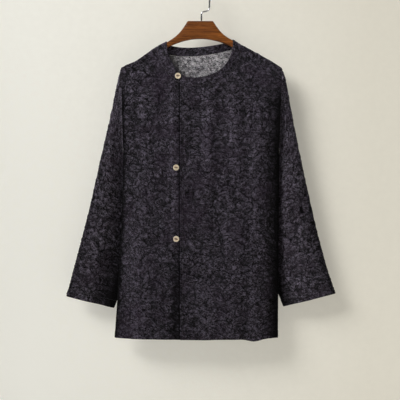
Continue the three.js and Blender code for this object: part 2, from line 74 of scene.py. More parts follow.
# How deep the hung body is
SADDLE = dict(radius=8.6, power=3)
HANG_LENGTH = 150
BODY_DEPTH = {FRONT: 34, BACK: 20}
ARMHOLE_DEPTH = {FRONT: 25, BACK: 20}
ARMHOLE_CLOSING = dict(late=4, round=0.5)
SECTION = dict(top_z=-330, square=(8, 2.6), closing=(1, 0.385))

# The neck
NECK_X = -26.8
NECK = {
    RIGHT: dict(seam=(-113.1, -158.3), edge=(-87.6, -144.6), power={FRONT: 1.75, BACK: 2.3}),
    LEFT: dict(seam=(106.3, -153.7), edge=(84.2, -139.9), power={FRONT: 2.4, BACK: 1.5}),
}
NECK_LOW = {FRONT: dict(seam=-263, edge=-241), BACK: dict(seam=-183.5, edge=-160.4)}
NECK_CLOSING = 2.2

# The wrap
WRAP = dict(edge_x=-52, flat_to=-18, lift_end=50, lift=CLOTH + PLY_GAP, curl=1.5, curl_width=8)

# Folds and creases: from x and z, to x and z, half width, height, sideways bow
FRONT_FOLDS = [
    (82, -225, 18, -292, 9, 3.2, 0),
    (80, -246, 26, -304, 10, -3, 0),
    (30, -215, 18, -560, 16, 2.6, 0),
    (82, -200, 88, -470, 17, 3, 0),
    (150, -260, 142, -700, 20, 2.8, 0),
    (112, -760, 111, -935, 12, -3.4, 0),
    (134, -700, 138, -940, 11, 4.2, 0),
    (176, -300, 180, -840, 12, -3, 0),
    (-75, -215, -66, -640, 11, 2.4, 0),
    (-146, -760, -147, -935, 13, 3, 0),
    (-168, -250, -176, -700, 13, -2.4, 0),
    (96, -238, 40, -320, 7, 1.3, 4),
    (104, -262, 58, -352, 8, -1.2, 6),
    (58, -250, 12, -276, 5, -1.1, -3),
    (-4, -290, -10, -480, 8, -1.1, 5),
    (46, -420, 36, -690, 10, -1.4, -6),
    (64, -540, 70, -800, 11, 1.5, 7),
    (116, -330, 108, -600, 10, -1.6, 6),
    (168, -230, 158, -420, 8, 1.2, -5),
    (186, -300, 150, -380, 7, -1.2, 6),
    (190, -420, 140, -520, 8, 0.9, 8),
    (30, -690, 22, -930, 12, 1.5, 4),
    (-20, -560, -28, -900, 9, 1.1, -4),
    (84, -790, 78, -935, 9, -1.3, 0),
    (168, -760, 172, -935, 9, -1.5, 3),
    (-96, -240, -104, -430, 8, -1.4, -5),
    (-150, -215, -128, -330, 8, 1.3, 6),
    (-186, -310, -150, -400, 7, -1.1, -6),
    (-92, -470, -100, -760, 10, 1.2, 6),
    (-112, -640, -118, -900, 9, -1.4, -5),
    (-190, -560, -178, -760, 9, 1.2, 4),
    (-67, -640, -66, -935, 9, -4.2, 0),
    (-64, -270, -64, -660, 6, -1.1, 0),
    (-55, -235, -55, -935, 3.5, -1.5, 0),
    (-162, -240, -166, -920, 21, 6, 4),
    (-66, -225, -62, -720, 13, 4, 0),
    (28, -240, 18, -620, 16, 4, -3),
    (16, -560, 10, -935, 16, 4.5, 4),
    (88, -230, 92, -560, 18, 4, 4),
    (92, -480, 86, -935, 18, 4, -5),
    (148, -300, 146, -760, 18, 2.5, 0),
    (200, -300, 196, -940, 17, -9, 0),
]
BACK_FOLDS = [
    (-60, -230, -90, -700, 18, 3, 0),
    (52, -220, 74, -620, 17, 3.4, 0),
    (4, -260, -6, -820, 20, -2.6, 0),
    (112, -560, 118, -935, 15, 3.4, 0),
    (-108, -640, -120, -935, 16, -2.8, 0),
    (-150, -215, -120, -420, 10, 1.6, 8),
    (-176, -330, -128, -420, 8, -1.3, -7),
    (-30, -230, -44, -470, 10, -1.3, 6),
    (26, -320, 34, -640, 11, 1.3, -7),
    (96, -240, 110, -520, 10, -1.6, 6),
    (150, -220, 132, -400, 10, 1.6, -7),
    (184, -330, 138, -430, 8, -1.3, 7),
    (160, -480, 168, -800, 12, 1.4, 6),
    (44, -640, 52, -935, 12, -1.6, 5),
    (-52, -560, -60, -930, 12, 1.7, -6),
    (-160, -480, -172, -820, 12, 1.5, 7),
    (86, -760, 90, -935, 10, 1.4, 0),
    (-150, -760, -152, -935, 10, -1.3, 0),
    (0, -700, 8, -930, 10, 1.2, -5),
]
FOLDS = {FRONT: FRONT_FOLDS, BACK: BACK_FOLDS}
FOLDS_BEGIN = (8, 60)
# Painted light and shade of the folds: their ridges are painted lighter and their valleys darker in the
# cloth's colour.
FOLD_PAINTED_SHADE = dict(strength=0.1, middle=1.2)  # how much lighter a ridge is than a valley

# Sleeves: outer end, inner end, depth of the front and of the back
SLEEVES = {
    RIGHT: np.array([
        (-205.2, 0, -213.2, -200.5, 0, -427, 14, 14),
        (-216.6, 1, -257.7, -198.6, 12, -444, 14, 16),
        (-234.2, 3, -341.6, -195.5, 25, -478, 15, 19),
        (-256.4, 5, -438, -187, 34, -527, 17, 21),
        (-281, 6, -547, -177, 38, -598, 18, 21),
        (-306, 6, -648, -179, 35, -686, 17, 19),
        (-328.6, 5, -734, -197, 27, -766, 15, 16),
        (-348.9, 4, -807.6, -225.4, 13, -839, 12, 13),
    ]),
    LEFT: np.array([
        (211.4, 0, -213.7, 204.9, 0, -427, 14, 14),
        (223.5, 1, -253, 202.8, 12, -444, 14, 16),
        (239, 3, -338, 199, 25, -478, 15, 19),
        (259.3, 5, -439, 189, 34, -527, 17, 21),
        (283, 6, -547, 176, 38, -598, 18, 21),
        (306, 6, -646, 174, 35, -686, 17, 19),
        (329, 5, -731, 190, 27, -764, 15, 16),
        (351.8, 4, -800.5, 216.8, 13, -835, 12, 13),
    ]),
}
SLEEVE_POWER = 2.3
SLEEVE_JOIN = 0.3

# Folds and creases of the sleeves: across, from, to, half width, height, drift across
SLEEVE_FOLDS = {
    (RIGHT, FRONT): [
        (-0.45, 0.08, 0.8, 0.2, 3, 0),
        (0.2, 0.35, 1, 0.22, -3, 0),
        (0.45, 0.2, 1, 0.26, -8, 0),
        (-0.1, 0.02, 0.34, 0.1, -1.4, 0.3),
        (-0.7, 0.3, 0.7, 0.1, -1.1, 0.2),
        (-0.2, 0.55, 1, 0.12, 1.4, -0.2),
        (0.55, 0.5, 0.95, 0.12, 1.2, 0.1),
    ],
    (RIGHT, BACK): [
        (-0.2, 0.1, 0.85, 0.25, 3, 0),
        (0.35, 0.1, 0.6, 0.12, -1.4, 0.3),
        (-0.5, 0.4, 1, 0.12, -1.3, -0.2),
    ],
    (LEFT, FRONT): [
        (0.05, 0.12, 0.9, 0.22, 3, 0),
        (-0.55, 0.45, 1, 0.2, -2.4, 0),
        (0.66, 0.12, 1, 0.2, -6, 0),
        (0.1, 0.15, 1, 0.2, 3.5, -0.1),
        (0.3, 0.02, 0.4, 0.1, -1.3, -0.3),
        (-0.3, 0.1, 0.5, 0.1, 1.2, 0.2),
        (0.45, 0.5, 1, 0.12, 1.3, 0.15),
        (-0.1, 0.6, 1, 0.1, -1.1, -0.1),
    ],
    (LEFT, BACK): [
        (0.1, 0.1, 0.85, 0.25, 3, 0),
        (-0.35, 0.1, 0.6, 0.12, -1.4, 0.3),
        (0.5, 0.4, 1, 0.12, -1.3, -0.2),
    ],
}

# Painted shade on the sleeves, darker towards their inner edges by the gaps and towards their outer edges:
# place across (0 outer, 1 inner), reach, strength
SLEEVE_SHADE = {RIGHT: [(1, 0.42, 1.1), (0, 0.12, 0.4)], LEFT: [(1, 0.2, 0.95), (0, 0.22, 0.6)]}

# The embossed jacquard: overlapping cloud scallops, radial pleats in them and fine crinkles
SCALLOP = dict(pitch_u=40, pitch_v=17, radius=(20, 31), squash=1.3, warps=[(8, 45), (3.5, 15)])
SCALLOP_ORDER = dict(lift=1.9, slide_u=0.5, slide_v=0.7)
RELIEF = dict(scallop=2.1, pleat=0.4, crinkle=1.7, fine=0.4)
PLEATS = dict(count=22, sway=4, sway_size=16)
CRINKLES = dict(size=15, stretch=1.9, with_rim=0.9, line=0.08)
OUTLINE = dict(width=1.9, least=0.3, worn_size=26)
SEWN = dict(least=0.12, reach=7)  # how flat the relief is pressed at a seam, and over what distance
HEM_DEPTH = 19
HEM_FORM = dict(least=0.35, reach=3.5, swell=0.45, groove=0.35, groove_width=1.1,
                edge=2.2, down=0.7, thin=0.9)

# Where on the endless pattern each piece is cut
CUT_AT = {"front_left": 0, "front_right": 411, "back": 1203, "neckband": 2400, RIGHT: 3100, LEFT: 4200}

# Rows of points of the panels' outer layers, points along the right front's neck that the wrap covers
ROWS = {FRONT: 341, BACK: 291}
WRAP_COUNT = 14

# A stitch, and its rings: place along, width, height
STITCH = dict(pitch=3.4, length=2.4, radius=0.32, rise=0.05, sides=6,
              rings=[(0, 0.35, -0.5), (0.16, 0.9, 0), (0.5, 1, 0.12), (0.84, 0.9, 0), (1, 0.35, -0.5)])

BUTTONS = [(-57.7, -237.4), (-62.7, -474.2), (-61.9, -657.3)]
BUTTON = dict(radius=7.8, thickness=2.8, bevel=0.8, around=64, rim_at=6.3, rim_width=0.9, dish=0.35)
BUTTON_EYE = dict(half_length=5.2, half_height=2.7, depth=1.1, hole_at=1.9, hole_depth=1.2)
BUTTON_THREAD = dict(radius=0.3, apart=0.33, arch=1.25, sunk=0.9)
SHANK = dict(radius=1.5, height=2.9)
LOOP_CORD = dict(radius=1, clear=0.5)

WOOD = dict(thickness=12, edge=2.6, clear=3.2, top_z=-92.6, top_half=33, neck_half=86, neck_bow=11,
            arch_z=-138.8, arch_curve=0.0031, arm_height=19, tip_height=14, tip_inset=7, tip_round=7)
HOOK = dict(rod=2.1, radius=24, stem_x=3.1, tip_drop=9,
            jog=[(3.1, -81), (5.1, -70), (18, -66), (23.5, -57)])


def lerp(a, b, t):
    return a + (b - a) * t


def smoothstep(value, low, high):
    t = np.clip((value - low) / (high - low), 0, 1)
    return t * t * (3 - 2 * t)


def bell(value, width=1.0):
    return np.exp(-(value / width) ** 2)


def run_of(points):
    """Distance along each line of points, down the grid's first axis."""
    steps = np.linalg.norm(np.diff(points, axis=0), axis=-1)
    return np.concatenate([np.zeros((1, *steps.shape[1:])), np.cumsum(steps, axis=0)])


def points_at(distance, run, points):
    return np.stack([np.interp(distance, run, points[:, k]) for k in range(3)], -1)


def look_up(table, row, column):
    """Values between a table's points."""
    row = np.clip(row, 0, table.shape[0] - 1.001)
    column = np.clip(column, 0, table.shape[1] - 1.001)
    i, j = row.astype(int), column.astype(int)
    before, after = (lerp(table[k, j], table[k, j + 1], column - j) for k in (i, i + 1))
    return lerp(before, after, row - i)


def crest_z(x):
    return np.interp(x, CREST[:, 0], CREST[:, 1])


def side_x(side, z):
    table = SIDES[side]
    return np.interp(-z, -table[:, 0], table[:, 1])


def edge_x(x, z):
    """X of the side edge on the side where x lies."""
    return np.where(x < 0, side_x(RIGHT, z), side_x(LEFT, z))


def fold_height(x, z, face):
    height = np.zeros_like(x)
    for from_x, from_z, to_x, to_z, width, high, bow in FOLDS[face]:
        run = np.array([to_x - from_x, to_z - from_z], float)
        length = np.hypot(*run)
        share = np.clip(((x - from_x) * run[0] + (z - from_z) * run[1]) / length ** 2, 0, 1)
        side = bow * np.sin(np.pi * share) / length
        near_x = from_x + run[0] * share - run[1] * side
        near_z = from_z + run[1] * share + run[0] * side
        away = np.hypot(x - near_x, z - near_z) / width
        ends = np.sin(np.pi * (share / 2 if to_z < HEM["z"] else share))
        height += high * bell(away) * ends
    return height


def hang_depth(drop, full):
    radius, power = SADDLE["radius"], SADDLE["power"]
    near = radius * (1 - (1 - np.clip(drop / radius, 0, 1)) ** power) ** (1 / power)
    far = radius + (full - radius) * (1 - np.exp(-(drop - radius) / HANG_LENGTH))
    return np.where(drop < radius, near, far)


def armhole_open(share):
    return (1 - np.clip(share, 0, 1) ** ARMHOLE_CLOSING["late"]) ** ARMHOLE_CLOSING["round"]


def body_depth(x, z, face):
    """Depth of the body's outer surface from the middle plane."""
    tip = np.where(x < 0, SIDES[RIGHT][0, 0], SIDES[LEFT][0, 0])
    drop = np.maximum(crest_z(x) - z, 0)
    out = np.minimum(np.abs(x / edge_x(x, z)), 1)
    rounding = 1 - smoothstep(z, UNDERARM_Z, SECTION["top_z"])
    inside = (1 - out ** lerp(*SECTION["square"], rounding)) ** lerp(*SECTION["closing"], rounding)
    full = lerp(ARMHOLE_DEPTH[face], BODY_DEPTH[face], inside)
    kept = lerp(armhole_open((tip - z) / (tip - UNDERARM_Z)), 1, inside)
    return hang_depth(drop, full) * kept + fold_height(x, z, face) * smoothstep(drop, *FOLDS_BEGIN) * inside


def wrap_lift(x):
    return WRAP["lift"] * (1 - smoothstep(x, WRAP["flat_to"], WRAP["lift_end"]))


def cloth_at(x, z, face, lift=0.0):
    """Outer place and normal of the body's cloth."""
    step = SLOPE_STEP
    slope_x = (body_depth(x + step, z, face) - body_depth(x - step, z, face)) / (2 * step)
    slope_z = (body_depth(x, z + step, face) - body_depth(x, z - step, face)) / (2 * step)
    normal = np.stack([-slope_x, np.full_like(x, face), -slope_z], -1)
    crest_slope = (crest_z(x + 1) - crest_z(x - 1)) / 2
    upright = np.stack([-crest_slope, np.zeros_like(x), np.ones_like(x)], -1)
    normal = np.where((crest_z(x) - z < ON_CREST)[..., None], upright, normal)
    normal /= np.linalg.norm(normal, axis=-1, keepdims=True)
    depth = np.maximum(body_depth(x, z, face) + lift, SEAM / 2)
    return np.stack([x, face * depth, z], -1), normal


def along_cloth(x, z, face):
    """Distance along the cloth from the middle of the body, measured level."""
    levels = np.linspace(-130, -930, 161)
    turns = np.linspace(0, np.pi / 2, 121)
    result = np.zeros_like(x)
    for side, sign in ((RIGHT, -1), (LEFT, 1)):
        level_z, out = np.meshgrid(levels, np.sin(turns), indexing="ij")
        level_x = out * side_x(side, level_z)
        level = np.stack([level_x, body_depth(level_x, level_z, face)], -1)
        row = (levels[0] - z) / (levels[0] - levels[1])
        column = np.arcsin(np.clip(np.abs(x / side_x(side, z)), 0, 1)) / turns[1]
        value = look_up(run_of(level.swapaxes(0, 1)).T, row, column)
        result = np.where((x < 0) == (sign < 0), sign * value, result)
    return result


def random_cell(i, j, k):
    """A repeatable number from 0 to 1 for each cell."""
    n = (i.astype(np.int64) * 374761393 + j.astype(np.int64) * 668265263 + k * 982451653) & 0xFFFFFFFF
    n = ((n ^ (n >> 13)) * 1274126177) & 0xFFFFFFFF
    return ((n ^ (n >> 16)) & 0xFFFFFF) / 0xFFFFFF


def noise(u, v, size, k):
    """Smooth noise from about -1 to 1."""
    x, y = u / size, v / size
    i, j = np.floor(x), np.floor(y)
    fx, fy = x - i, y - j

    def corner(a, b):
        turn = 2 * np.pi * random_cell(i + a, j + b, k)
        return np.cos(turn) * (fx - a) + np.sin(turn) * (fy - b)

    sx, sy = (t * t * t * (t * (t * 6 - 15) + 10) for t in (fx, fy))
    top = lerp(corner(0, 0), corner(1, 0), sx)
    low = lerp(corner(0, 1), corner(1, 1), sx)
    return 1.5 * lerp(top, low, sy)


def jacquard(u, v):
    """Height of the embossing in millimetres, and from 0 to 1 its dark outlines with painted shade along the
    crinkles' grooves.
    """
    wu, wv = u, v
    for k, (warp, size) in enumerate(SCALLOP["warps"]):
        wu = wu + warp * noise(u, v, size, 2 * k + 1)
        wv = wv + warp * noise(u, v, size, 2 * k + 2)
    pitch_u, pitch_v = SCALLOP["pitch_u"], SCALLOP["pitch_v"]
    row = np.floor(wv / pitch_v)
    column = np.floor(wu / pitch_u)
    best = np.full_like(u, -1e9)
    rim = np.zeros_like(u)
    reach = np.ones_like(u)
    angle = np.zeros_like(u)
    for dj in (-1, 0, 1, 2):
        for di in (-1, 0, 1):
            j = row + dj
            i = column + di
            shift = 0.5 * np.mod(j, 2) + SCALLOP_ORDER["slide_u"] * (random_cell(i, j, 5) - 0.5)
            drop = SCALLOP_ORDER["slide_v"] * (random_cell(i, j, 6) - 0.5)
            radius = lerp(*SCALLOP["radius"], random_cell(i, j, 7))
            off_u = wu - (i + 0.25 + shift) * pitch_u
            off_v = SCALLOP["squash"] * (wv - (j + 0.5 + drop) * pitch_v)
            distance = np.hypot(off_u, off_v)
            rank = j + SCALLOP_ORDER["lift"] * random_cell(i, j, 8)
            wins = (distance < radius) & (rank > best)
            best = np.where(wins, rank, best)
            rim = np.where(wins, radius - distance, rim)
            reach = np.where(wins, radius, reach)
            angle = np.where(wins, np.arctan2(off_u, radius * 0.9 - off_v), angle)
    inner = rim / reach
    dome = (1 - np.exp(-rim / 2.6)) * (1 - 0.7 * inner)
    sway = PLEATS["sway"] * noise(u, v, PLEATS["sway_size"], 10)
    pleats = np.cos(angle * PLEATS["count"] + sway) * smoothstep(inner, 0.03, 0.25) * (1 - 0.5 * inner)
    wave_v = CRINKLES["stretch"] * wv + CRINKLES["with_rim"] * rim
    wave = noise(wu, wave_v, CRINKLES["size"], 11)
    crinkle = np.abs(wave) - 0.3
    fine = noise(u, 1.6 * v, 7, 12)
    height = (RELIEF["scallop"] * (dome - 0.5) + RELIEF["pleat"] * pleats
              + RELIEF["crinkle"] * crinkle + RELIEF["fine"] * fine)
    worn = smoothstep(noise(u, v, OUTLINE["worn_size"], 9), -0.45, 0.35)
    outline_and_painted_shade = bell(rim, OUTLINE["width"]) * lerp(OUTLINE["least"], 1, worn)
    # The dark lines along the bottoms of the crinkles' grooves are painted shade.
    return height, np.maximum(outline_and_painted_shade, bell(wave, CRINKLES["line"]) * (0.6 - 0.4 * worn))


def to_borders(points, ring=False):
    """Distances along the grid to its first and last row and, unless it is a ring, column."""
    from_top = run_of(points)
    found = [from_top, from_top[-1:] - from_top]
    if not ring:
        from_left = run_of(points.swapaxes(0, 1)).T
        found += [from_left, from_left[:, -1:] - from_left]
    return found


def quads(index):
    return np.stack([index[:-1, :-1], index[1:, :-1], index[1:, 1:], index[:-1, 1:]], -1).reshape(-1, 4)


def closed(index):
    """The index of a grid whose last column meets its first."""
    return np.concatenate([index, index[:, :1]], axis=1)


def capped(index):
    """Faces of a stack of rings with a cap at each end."""
    return quads(closed(index))[:, ::-1].tolist() + [index[0, ::-1].tolist(), index[-1].tolist()]


def rim_faces(outer, inner, forward):
    """Triangles that join a border of the outer layer to the coarser border of the inner one."""
    made = []
    for k in range(len(inner) - 1):
        first, middle, last = outer[2 * k], outer[2 * k + 1], outer[2 * k + 2]
        made += [(first, middle, inner[k]), (middle, inner[k + 1], inner[k]), (middle, last, inner[k + 1])]
    return made if forward else [face[::-1] for face in made]


def add_object(name, points, faces, materials, indices=None, facts=None, smooth=True):
    """A mesh object from points in millimetres."""
    mesh = bpy.data.meshes.new(name)
    mesh.from_pydata((np.asarray(points) * MM).tolist(), [], faces)
    for material in materials:
        mesh.materials.append(material)
    if indices is not None:
        mesh.polygons.foreach_set("material_index", np.asarray(indices, np.int32))
    mesh.polygons.foreach_set("use_smooth", np.full(len(faces), smooth))
    for key, values in (facts or {}).items():
        mesh.attributes.new(key, "FLOAT", "POINT").data.foreach_set("value", np.asarray(values, np.float32))
    mesh.update()
    made = bpy.data.objects.new(name, mesh)
    bpy.context.scene.collection.objects.link(made)
    return made


def volume_sign(points, faces):
    a, b, c, d = (points[faces[:, k]] for k in range(4))
    return np.sign(np.sum(a * np.cross(b, c)) + np.sum(a * np.cross(c, d)))


def shell(name, base, normal, height, swell, outline_and_painted_shade, thick, ring, materials, turned_in=None, fold_shade=0.0):
    """A wall of cloth: a fine outer layer, and an inner one below it with every second point."""
    outer = base + normal * (height + swell)[..., None]
    padded = np.pad(height, ((0, 0), (1, 1)), mode="wrap" if ring else "edge")
    padded = np.pad(padded, ((1, 1), (0, 0)), mode="edge")
    lowest = np.lib.stride_tricks.sliding_window_view(padded, (3, 3)).min(axis=(2, 3))
    inner = (base + normal * (lowest + swell - thick)[..., None])[::2, ::2]
    outer_index = np.arange(height.size).reshape(height.shape)
    inner_index = height.size + np.arange(inner.size // 3).reshape(inner.shape[:2])
    if ring:
        outer_index, inner_index = closed(outer_index), closed(inner_index)
    outside = quads(outer_index)
    inside = quads(inner_index)[:, ::-1]
    rims = rim_faces(outer_index[0], inner_index[0], True)
    rims += rim_faces(outer_index[-1], inner_index[-1], False)
    if not ring:
        rims += rim_faces(outer_index[:, 0], inner_index[:, 0], False)
        rims += rim_faces(outer_index[:, -1], inner_index[:, -1], True)
    points = np.concatenate([outer.reshape(-1, 3), inner.reshape(-1, 3)])
    if turned_in is None:
        inside_material = np.ones(len(inside), int)
    else:
        inside_material = np.where(turned_in[::2, ::2][:-1, :inner_index.shape[1] - 1].ravel(), 0, 1)
    faces = outside.tolist() + inside.tolist() + [list(face) for face in rims]
    if volume_sign(points, np.concatenate([outside, inside])) < 0:
        faces = [face[::-1] for face in faces]
    indices = np.concatenate([np.zeros(len(outside), int), inside_material, np.zeros(len(rims), int)])
    # The colour attributes: the relief's height with the folds' painted light and shade, and the dark
    # outlines with painted shade.
    facts = {key: np.concatenate([values.ravel(), values[::2, ::2].ravel()])
             for key, values in (("height_and_fold_shade", height + fold_shade), ("outline_and_painted_shade", outline_and_painted_shade))}
    return add_object(name, points, faces, materials, indices, facts)


def neck_point(side, face, share, line):
    neck = NECK[side]
    to_x, to_z = neck[line]
    turn = np.pi / 2 * (1 - (1 - share) ** NECK_CLOSING)
    power = 2 / neck["power"][face]
    x = NECK_X + (to_x - NECK_X) * np.sin(turn) ** power
    z = to_z + (NECK_LOW[face][line] - to_z) * np.maximum(np.cos(turn), 0) ** power
    return x, z


def neck_share_at(side, face, x):
    neck = NECK[side]
    turn = math.asin(((x - NECK_X) / (neck["seam"][0] - NECK_X)) ** (neck["power"][face] / 2))
    return 1 - (1 - turn / (math.pi / 2)) ** (1 / NECK_CLOSING)


def even_shares(side, face, count, start=0.0, end=1.0):
    """Shares of a half neckline at even distances along its seam."""
    dense = np.linspace(start, end, 2001)
    x, z = neck_point(side, face, dense, "seam")
    run = run_of(np.stack([x, z], -1))
    return np.interp(np.linspace(0, run[-1], count + 1), run, dense)


def half_top(side, face, neck_count, shoulder_count):
    neck_x, neck_z = neck_point(side, face, even_shares(side, face, neck_count), "seam")
    shoulder_x = np.linspace(NECK[side]["seam"][0], SIDES[side][0, 1], shoulder_count + 1)[1:]
    return np.concatenate([neck_x, shoulder_x]), np.concatenate([neck_z, crest_z(shoulder_x)])


def hem_z(x, face):
    out = x / edge_x(x, np.full_like(x, HEM["z"]))
    flute = bell(x - HEM["flute_x"], HEM["flute_width"]) if face == FRONT else 0
    return HEM["z"] - HEM["sag"] * (1 - out ** 2) - HEM["flute_drop"] * flute


def spread_to(start, count):
    return lerp(start, 1, np.sin(np.linspace(0, np.pi / 2, count + 1)))


def half_width(share, z, only_side):
    """What a share across is measured by: the side's X, or the width on the share's own side."""
    return side_x(only_side, z) if only_side else np.abs(edge_x(share, z))


def panel_grid(top_x, top_z, spread, face, only_side=None):
    """Places of a panel's points in the front view, from its top edge to the hem."""
    hem = hem_z(spread * half_width(spread, np.full_like(spread, HEM["z"]), only_side), face)
    radius = SADDLE["radius"]
    near = radius * np.linspace(0, 1, 9)[:-1] ** 2
    share = np.linspace(0, 1, ROWS[face] - len(near))[:, None]
    z = np.concatenate([top_z - near[:, None], lerp(top_z - radius, hem, share)])
    down = (top_z - z) / (top_z - hem)
    start = top_x / half_width(top_x, top_z, only_side)
    out = lerp(start, spread, np.minimum((down / 0.4) ** 0.6, 1))
    return out * half_width(out, z, only_side), z


def near_seam(distance):
    return lerp(SEWN["least"], 1, smoothstep(distance, 0.5, SEWN["reach"]))


def hem_form(from_hem):
    """How much relief, swell and thickness the cloth has near its turned-up hem."""
    in_hem = 1 - smoothstep(from_hem, HEM_DEPTH - 1.5, HEM_DEPTH)
    edge = 1 - smoothstep(from_hem, 0, HEM_FORM["edge"])
    groove = bell(from_hem - HEM_DEPTH, HEM_FORM["groove_width"])
    flat = lerp(HEM_FORM["least"], 1, smoothstep(np.abs(from_hem - HEM_DEPTH), 0.4, HEM_FORM["reach"]))
    swell = HEM_FORM["swell"] * in_hem - HEM_FORM["down"] * edge - HEM_FORM["groove"] * groove
    return flat, swell, CLOTH + 2 * HEM_FORM["swell"] * in_hem - HEM_FORM["thin"] * edge


def dress_panel(name, x, z, face, lift, sewn, materials, shaded=0.0, pressed=1.0):
    """The cloth of a panel with its relief, pressed flat beside the seams named in sewn, with painted shade
    added where shaded says.
    """
    base, normal = cloth_at(x, z, face, lift)
    height, outline_and_painted_shade = jacquard(along_cloth(x, z, face) + CUT_AT[name], -z)
    borders = dict(zip(("top", "hem", "first", "last"), to_borders(base)))
    flat, swell, thick = hem_form(borders["hem"])
    flat *= pressed
    for border in sewn:
        flat *= near_seam(borders[border])
    # Painted shade: shaded darkens the cloth beside gaps and edges through the dark outlines.
    outline_and_painted_shade = np.clip(outline_and_painted_shade * (0.3 + 0.7 * flat) + shaded, 0, 1)
    turned_in = borders["hem"] < HEM_DEPTH
    # Painted light and shade of the folds: the cloth's colour is lighter on their ridges and darker in their
    # valleys.
    fold_shade = FOLD_PAINTED_SHADE["strength"] * (fold_height(x, z, face) - FOLD_PAINTED_SHADE["middle"])
    made = shell(f"cloth_{name}", base, normal, height * flat, swell, outline_and_painted_shade, thick, False, materials,
                 turned_in, fold_shade)
    return made, (base, normal)


def edge_curl(x):
    """The wrap's edge stands a little off the cloth under it."""
    return WRAP["curl"] * bell(x - WRAP["edge_x"], WRAP["curl_width"])


def side_shade(x, z, reach):
    """Painted shade: the cloth beside the sleeves is painted darker, where it lies in the dark of the gap."""
    inward = np.abs(edge_x(x, z)) - np.abs(x)
    return bell(inward, reach) * smoothstep(-z, 230, 300)


def covered_neck():
    """Shares of the right half neckline from its low point to the wrap's edge."""
    end = neck_share_at(RIGHT, FRONT, WRAP["edge_x"])
    return even_shares(RIGHT, FRONT, WRAP_COUNT, 0, end)


def front_left(materials):
    beyond_x, beyond_z = neck_point(RIGHT, FRONT, covered_neck()[1:][::-1], "seam")
    top_x, top_z = half_top(LEFT, FRONT, 106, 44)
    top_x = np.concatenate([beyond_x, top_x])
    top_z = np.concatenate([beyond_z, top_z])
    spread = spread_to(WRAP["edge_x"] / SIDES[LEFT][-1, 1], len(top_x) - 1)
    x, z = panel_grid(top_x, top_z, spread, FRONT, LEFT)
    lift = wrap_lift(x) + edge_curl(x)
    # Painted shade on the cloth beside the sleeve.
    return dress_panel("front_left", x, z, FRONT, lift, ("top", "last"), materials, side_shade(x, z, 21))


def front_right(materials):
    top_x, top_z = half_top(RIGHT, FRONT, 88, 44)
    spread = spread_to(NECK_X / SIDES[RIGHT][-1, 1], len(top_x) - 1)
    x, z = panel_grid(top_x, top_z, spread, FRONT, RIGHT)
    from_edge = x - WRAP["edge_x"]
    under = -smoothstep(from_edge, -6, 4)
    # Painted shade: a dark line beside the wrap's edge, the gap beside the sleeve, and a broad dark band left
    # of the edge low down.
    shaded = bell(from_edge + 1, 2.2) + side_shade(x, z, 8)
    shaded += 0.7 * bell(from_edge + 11, 10) * smoothstep(-z, 650, 780)
    pressed = 1 - 0.7 * smoothstep(from_edge, -4, 2)
    return dress_panel("front_right", x, z, FRONT, under, ("top", "last"), materials, shaded, pressed)


def back_panel(materials):
    right_x, right_z = half_top(RIGHT, BACK, 70, 36)
    left_x, left_z = half_top(LEFT, BACK, 92, 38)
    top_x = np.concatenate([right_x[::-1], left_x[1:]])
    top_z = np.concatenate([right_z[::-1], left_z[1:]])
    middle = NECK_X / SIDES[RIGHT][-1, 1]
    spread = np.concatenate([
        -spread_to(middle, len(right_x) - 1)[::-1],
        spread_to(-middle, len(left_x) - 1)[1:],
    ])
    x, z = panel_grid(top_x, top_z, spread, BACK)
    return dress_panel("back", x, z, BACK, 0.0, ("top", "first", "last"), materials)


def neckband(materials):
    """The band from the wrap's edge round the back of the neck to its hidden end."""
    runs = [
        (RIGHT, FRONT, covered_neck()[::-1], True),
        (LEFT, FRONT, even_shares(LEFT, FRONT, 92)[1:], True),
        (LEFT, BACK, even_shares(LEFT, BACK, 72)[-2::-1], False),
        (RIGHT, BACK, even_shares(RIGHT, BACK, 52)[1:], False),
        (RIGHT, FRONT, even_shares(RIGHT, FRONT, 72)[-2::-1], False),
    ]
    bases, normals = [], []
    for side, face, shares, lifted in runs:
        seam = np.array(neck_point(side, face, shares, "seam"))[..., None]
        edge = np.array(neck_point(side, face, shares, "edge"))[..., None]
        gap = SEAM / np.hypot(*(edge - seam))
        x, z = lerp(seam, edge, lerp(gap, 1, np.linspace(0, 1, 15)))
        base, normal = cloth_at(x, z, face, wrap_lift(x) + edge_curl(x) if lifted else 0.0)
        base[..., 1] = np.where(crest_z(x) - z < ON_CREST, 0, base[..., 1])
        bases.append(base)
        normals.append(normal)
    base, normal = np.concatenate(bases), np.concatenate(normals)
    if base.shape[0] % 2 == 0:
        base, normal = base[:-1], normal[:-1]
    from_start, _, across, _ = to_borders(base)
    run = from_start[:, :1] + np.zeros_like(across)
    width = across[:, -1:]
    height, outline_and_painted_shade = jacquard(run + CUT_AT["neckband"], across)
    stitched = np.minimum(np.abs(across - 1.6), np.abs(width - 1.8 - across))
    flat = 0.3 + 0.7 * smoothstep(stitched, 0.3, 3)
    edge = bell(across, 0.8) + bell(width - across, 0.8)
    swell = 0.25 - 0.7 * edge - 0.25 * bell(stitched, 0.9)
    thick = BAND_CLOTH - 1.2 * edge
    made = shell("cloth_neckband", base, normal, height * flat, swell, outline_and_painted_shade * flat, thick,
                 False, materials)
    return made, (base, normal)


def curve_at(points, share):
    """Places on a uniform Catmull-Rom curve through the points."""
    last = len(points) - 1
    padded = np.vstack([2 * points[0] - points[1], points, 2 * points[-1] - points[-2]])
    place = np.asarray(share) * last
    i = np.minimum(place.astype(int), last - 1)
    t = (place - i)[:, None]
    before, here, there, after = (padded[i + k] for k in range(4))
    leave, arrive = 0.5 * (there - before), 0.5 * (after - here)
    return (here + leave * t + (3 * (there - here) - 2 * leave - arrive) * t ** 2
            + (2 * (here - there) + leave + arrive) * t ** 3)


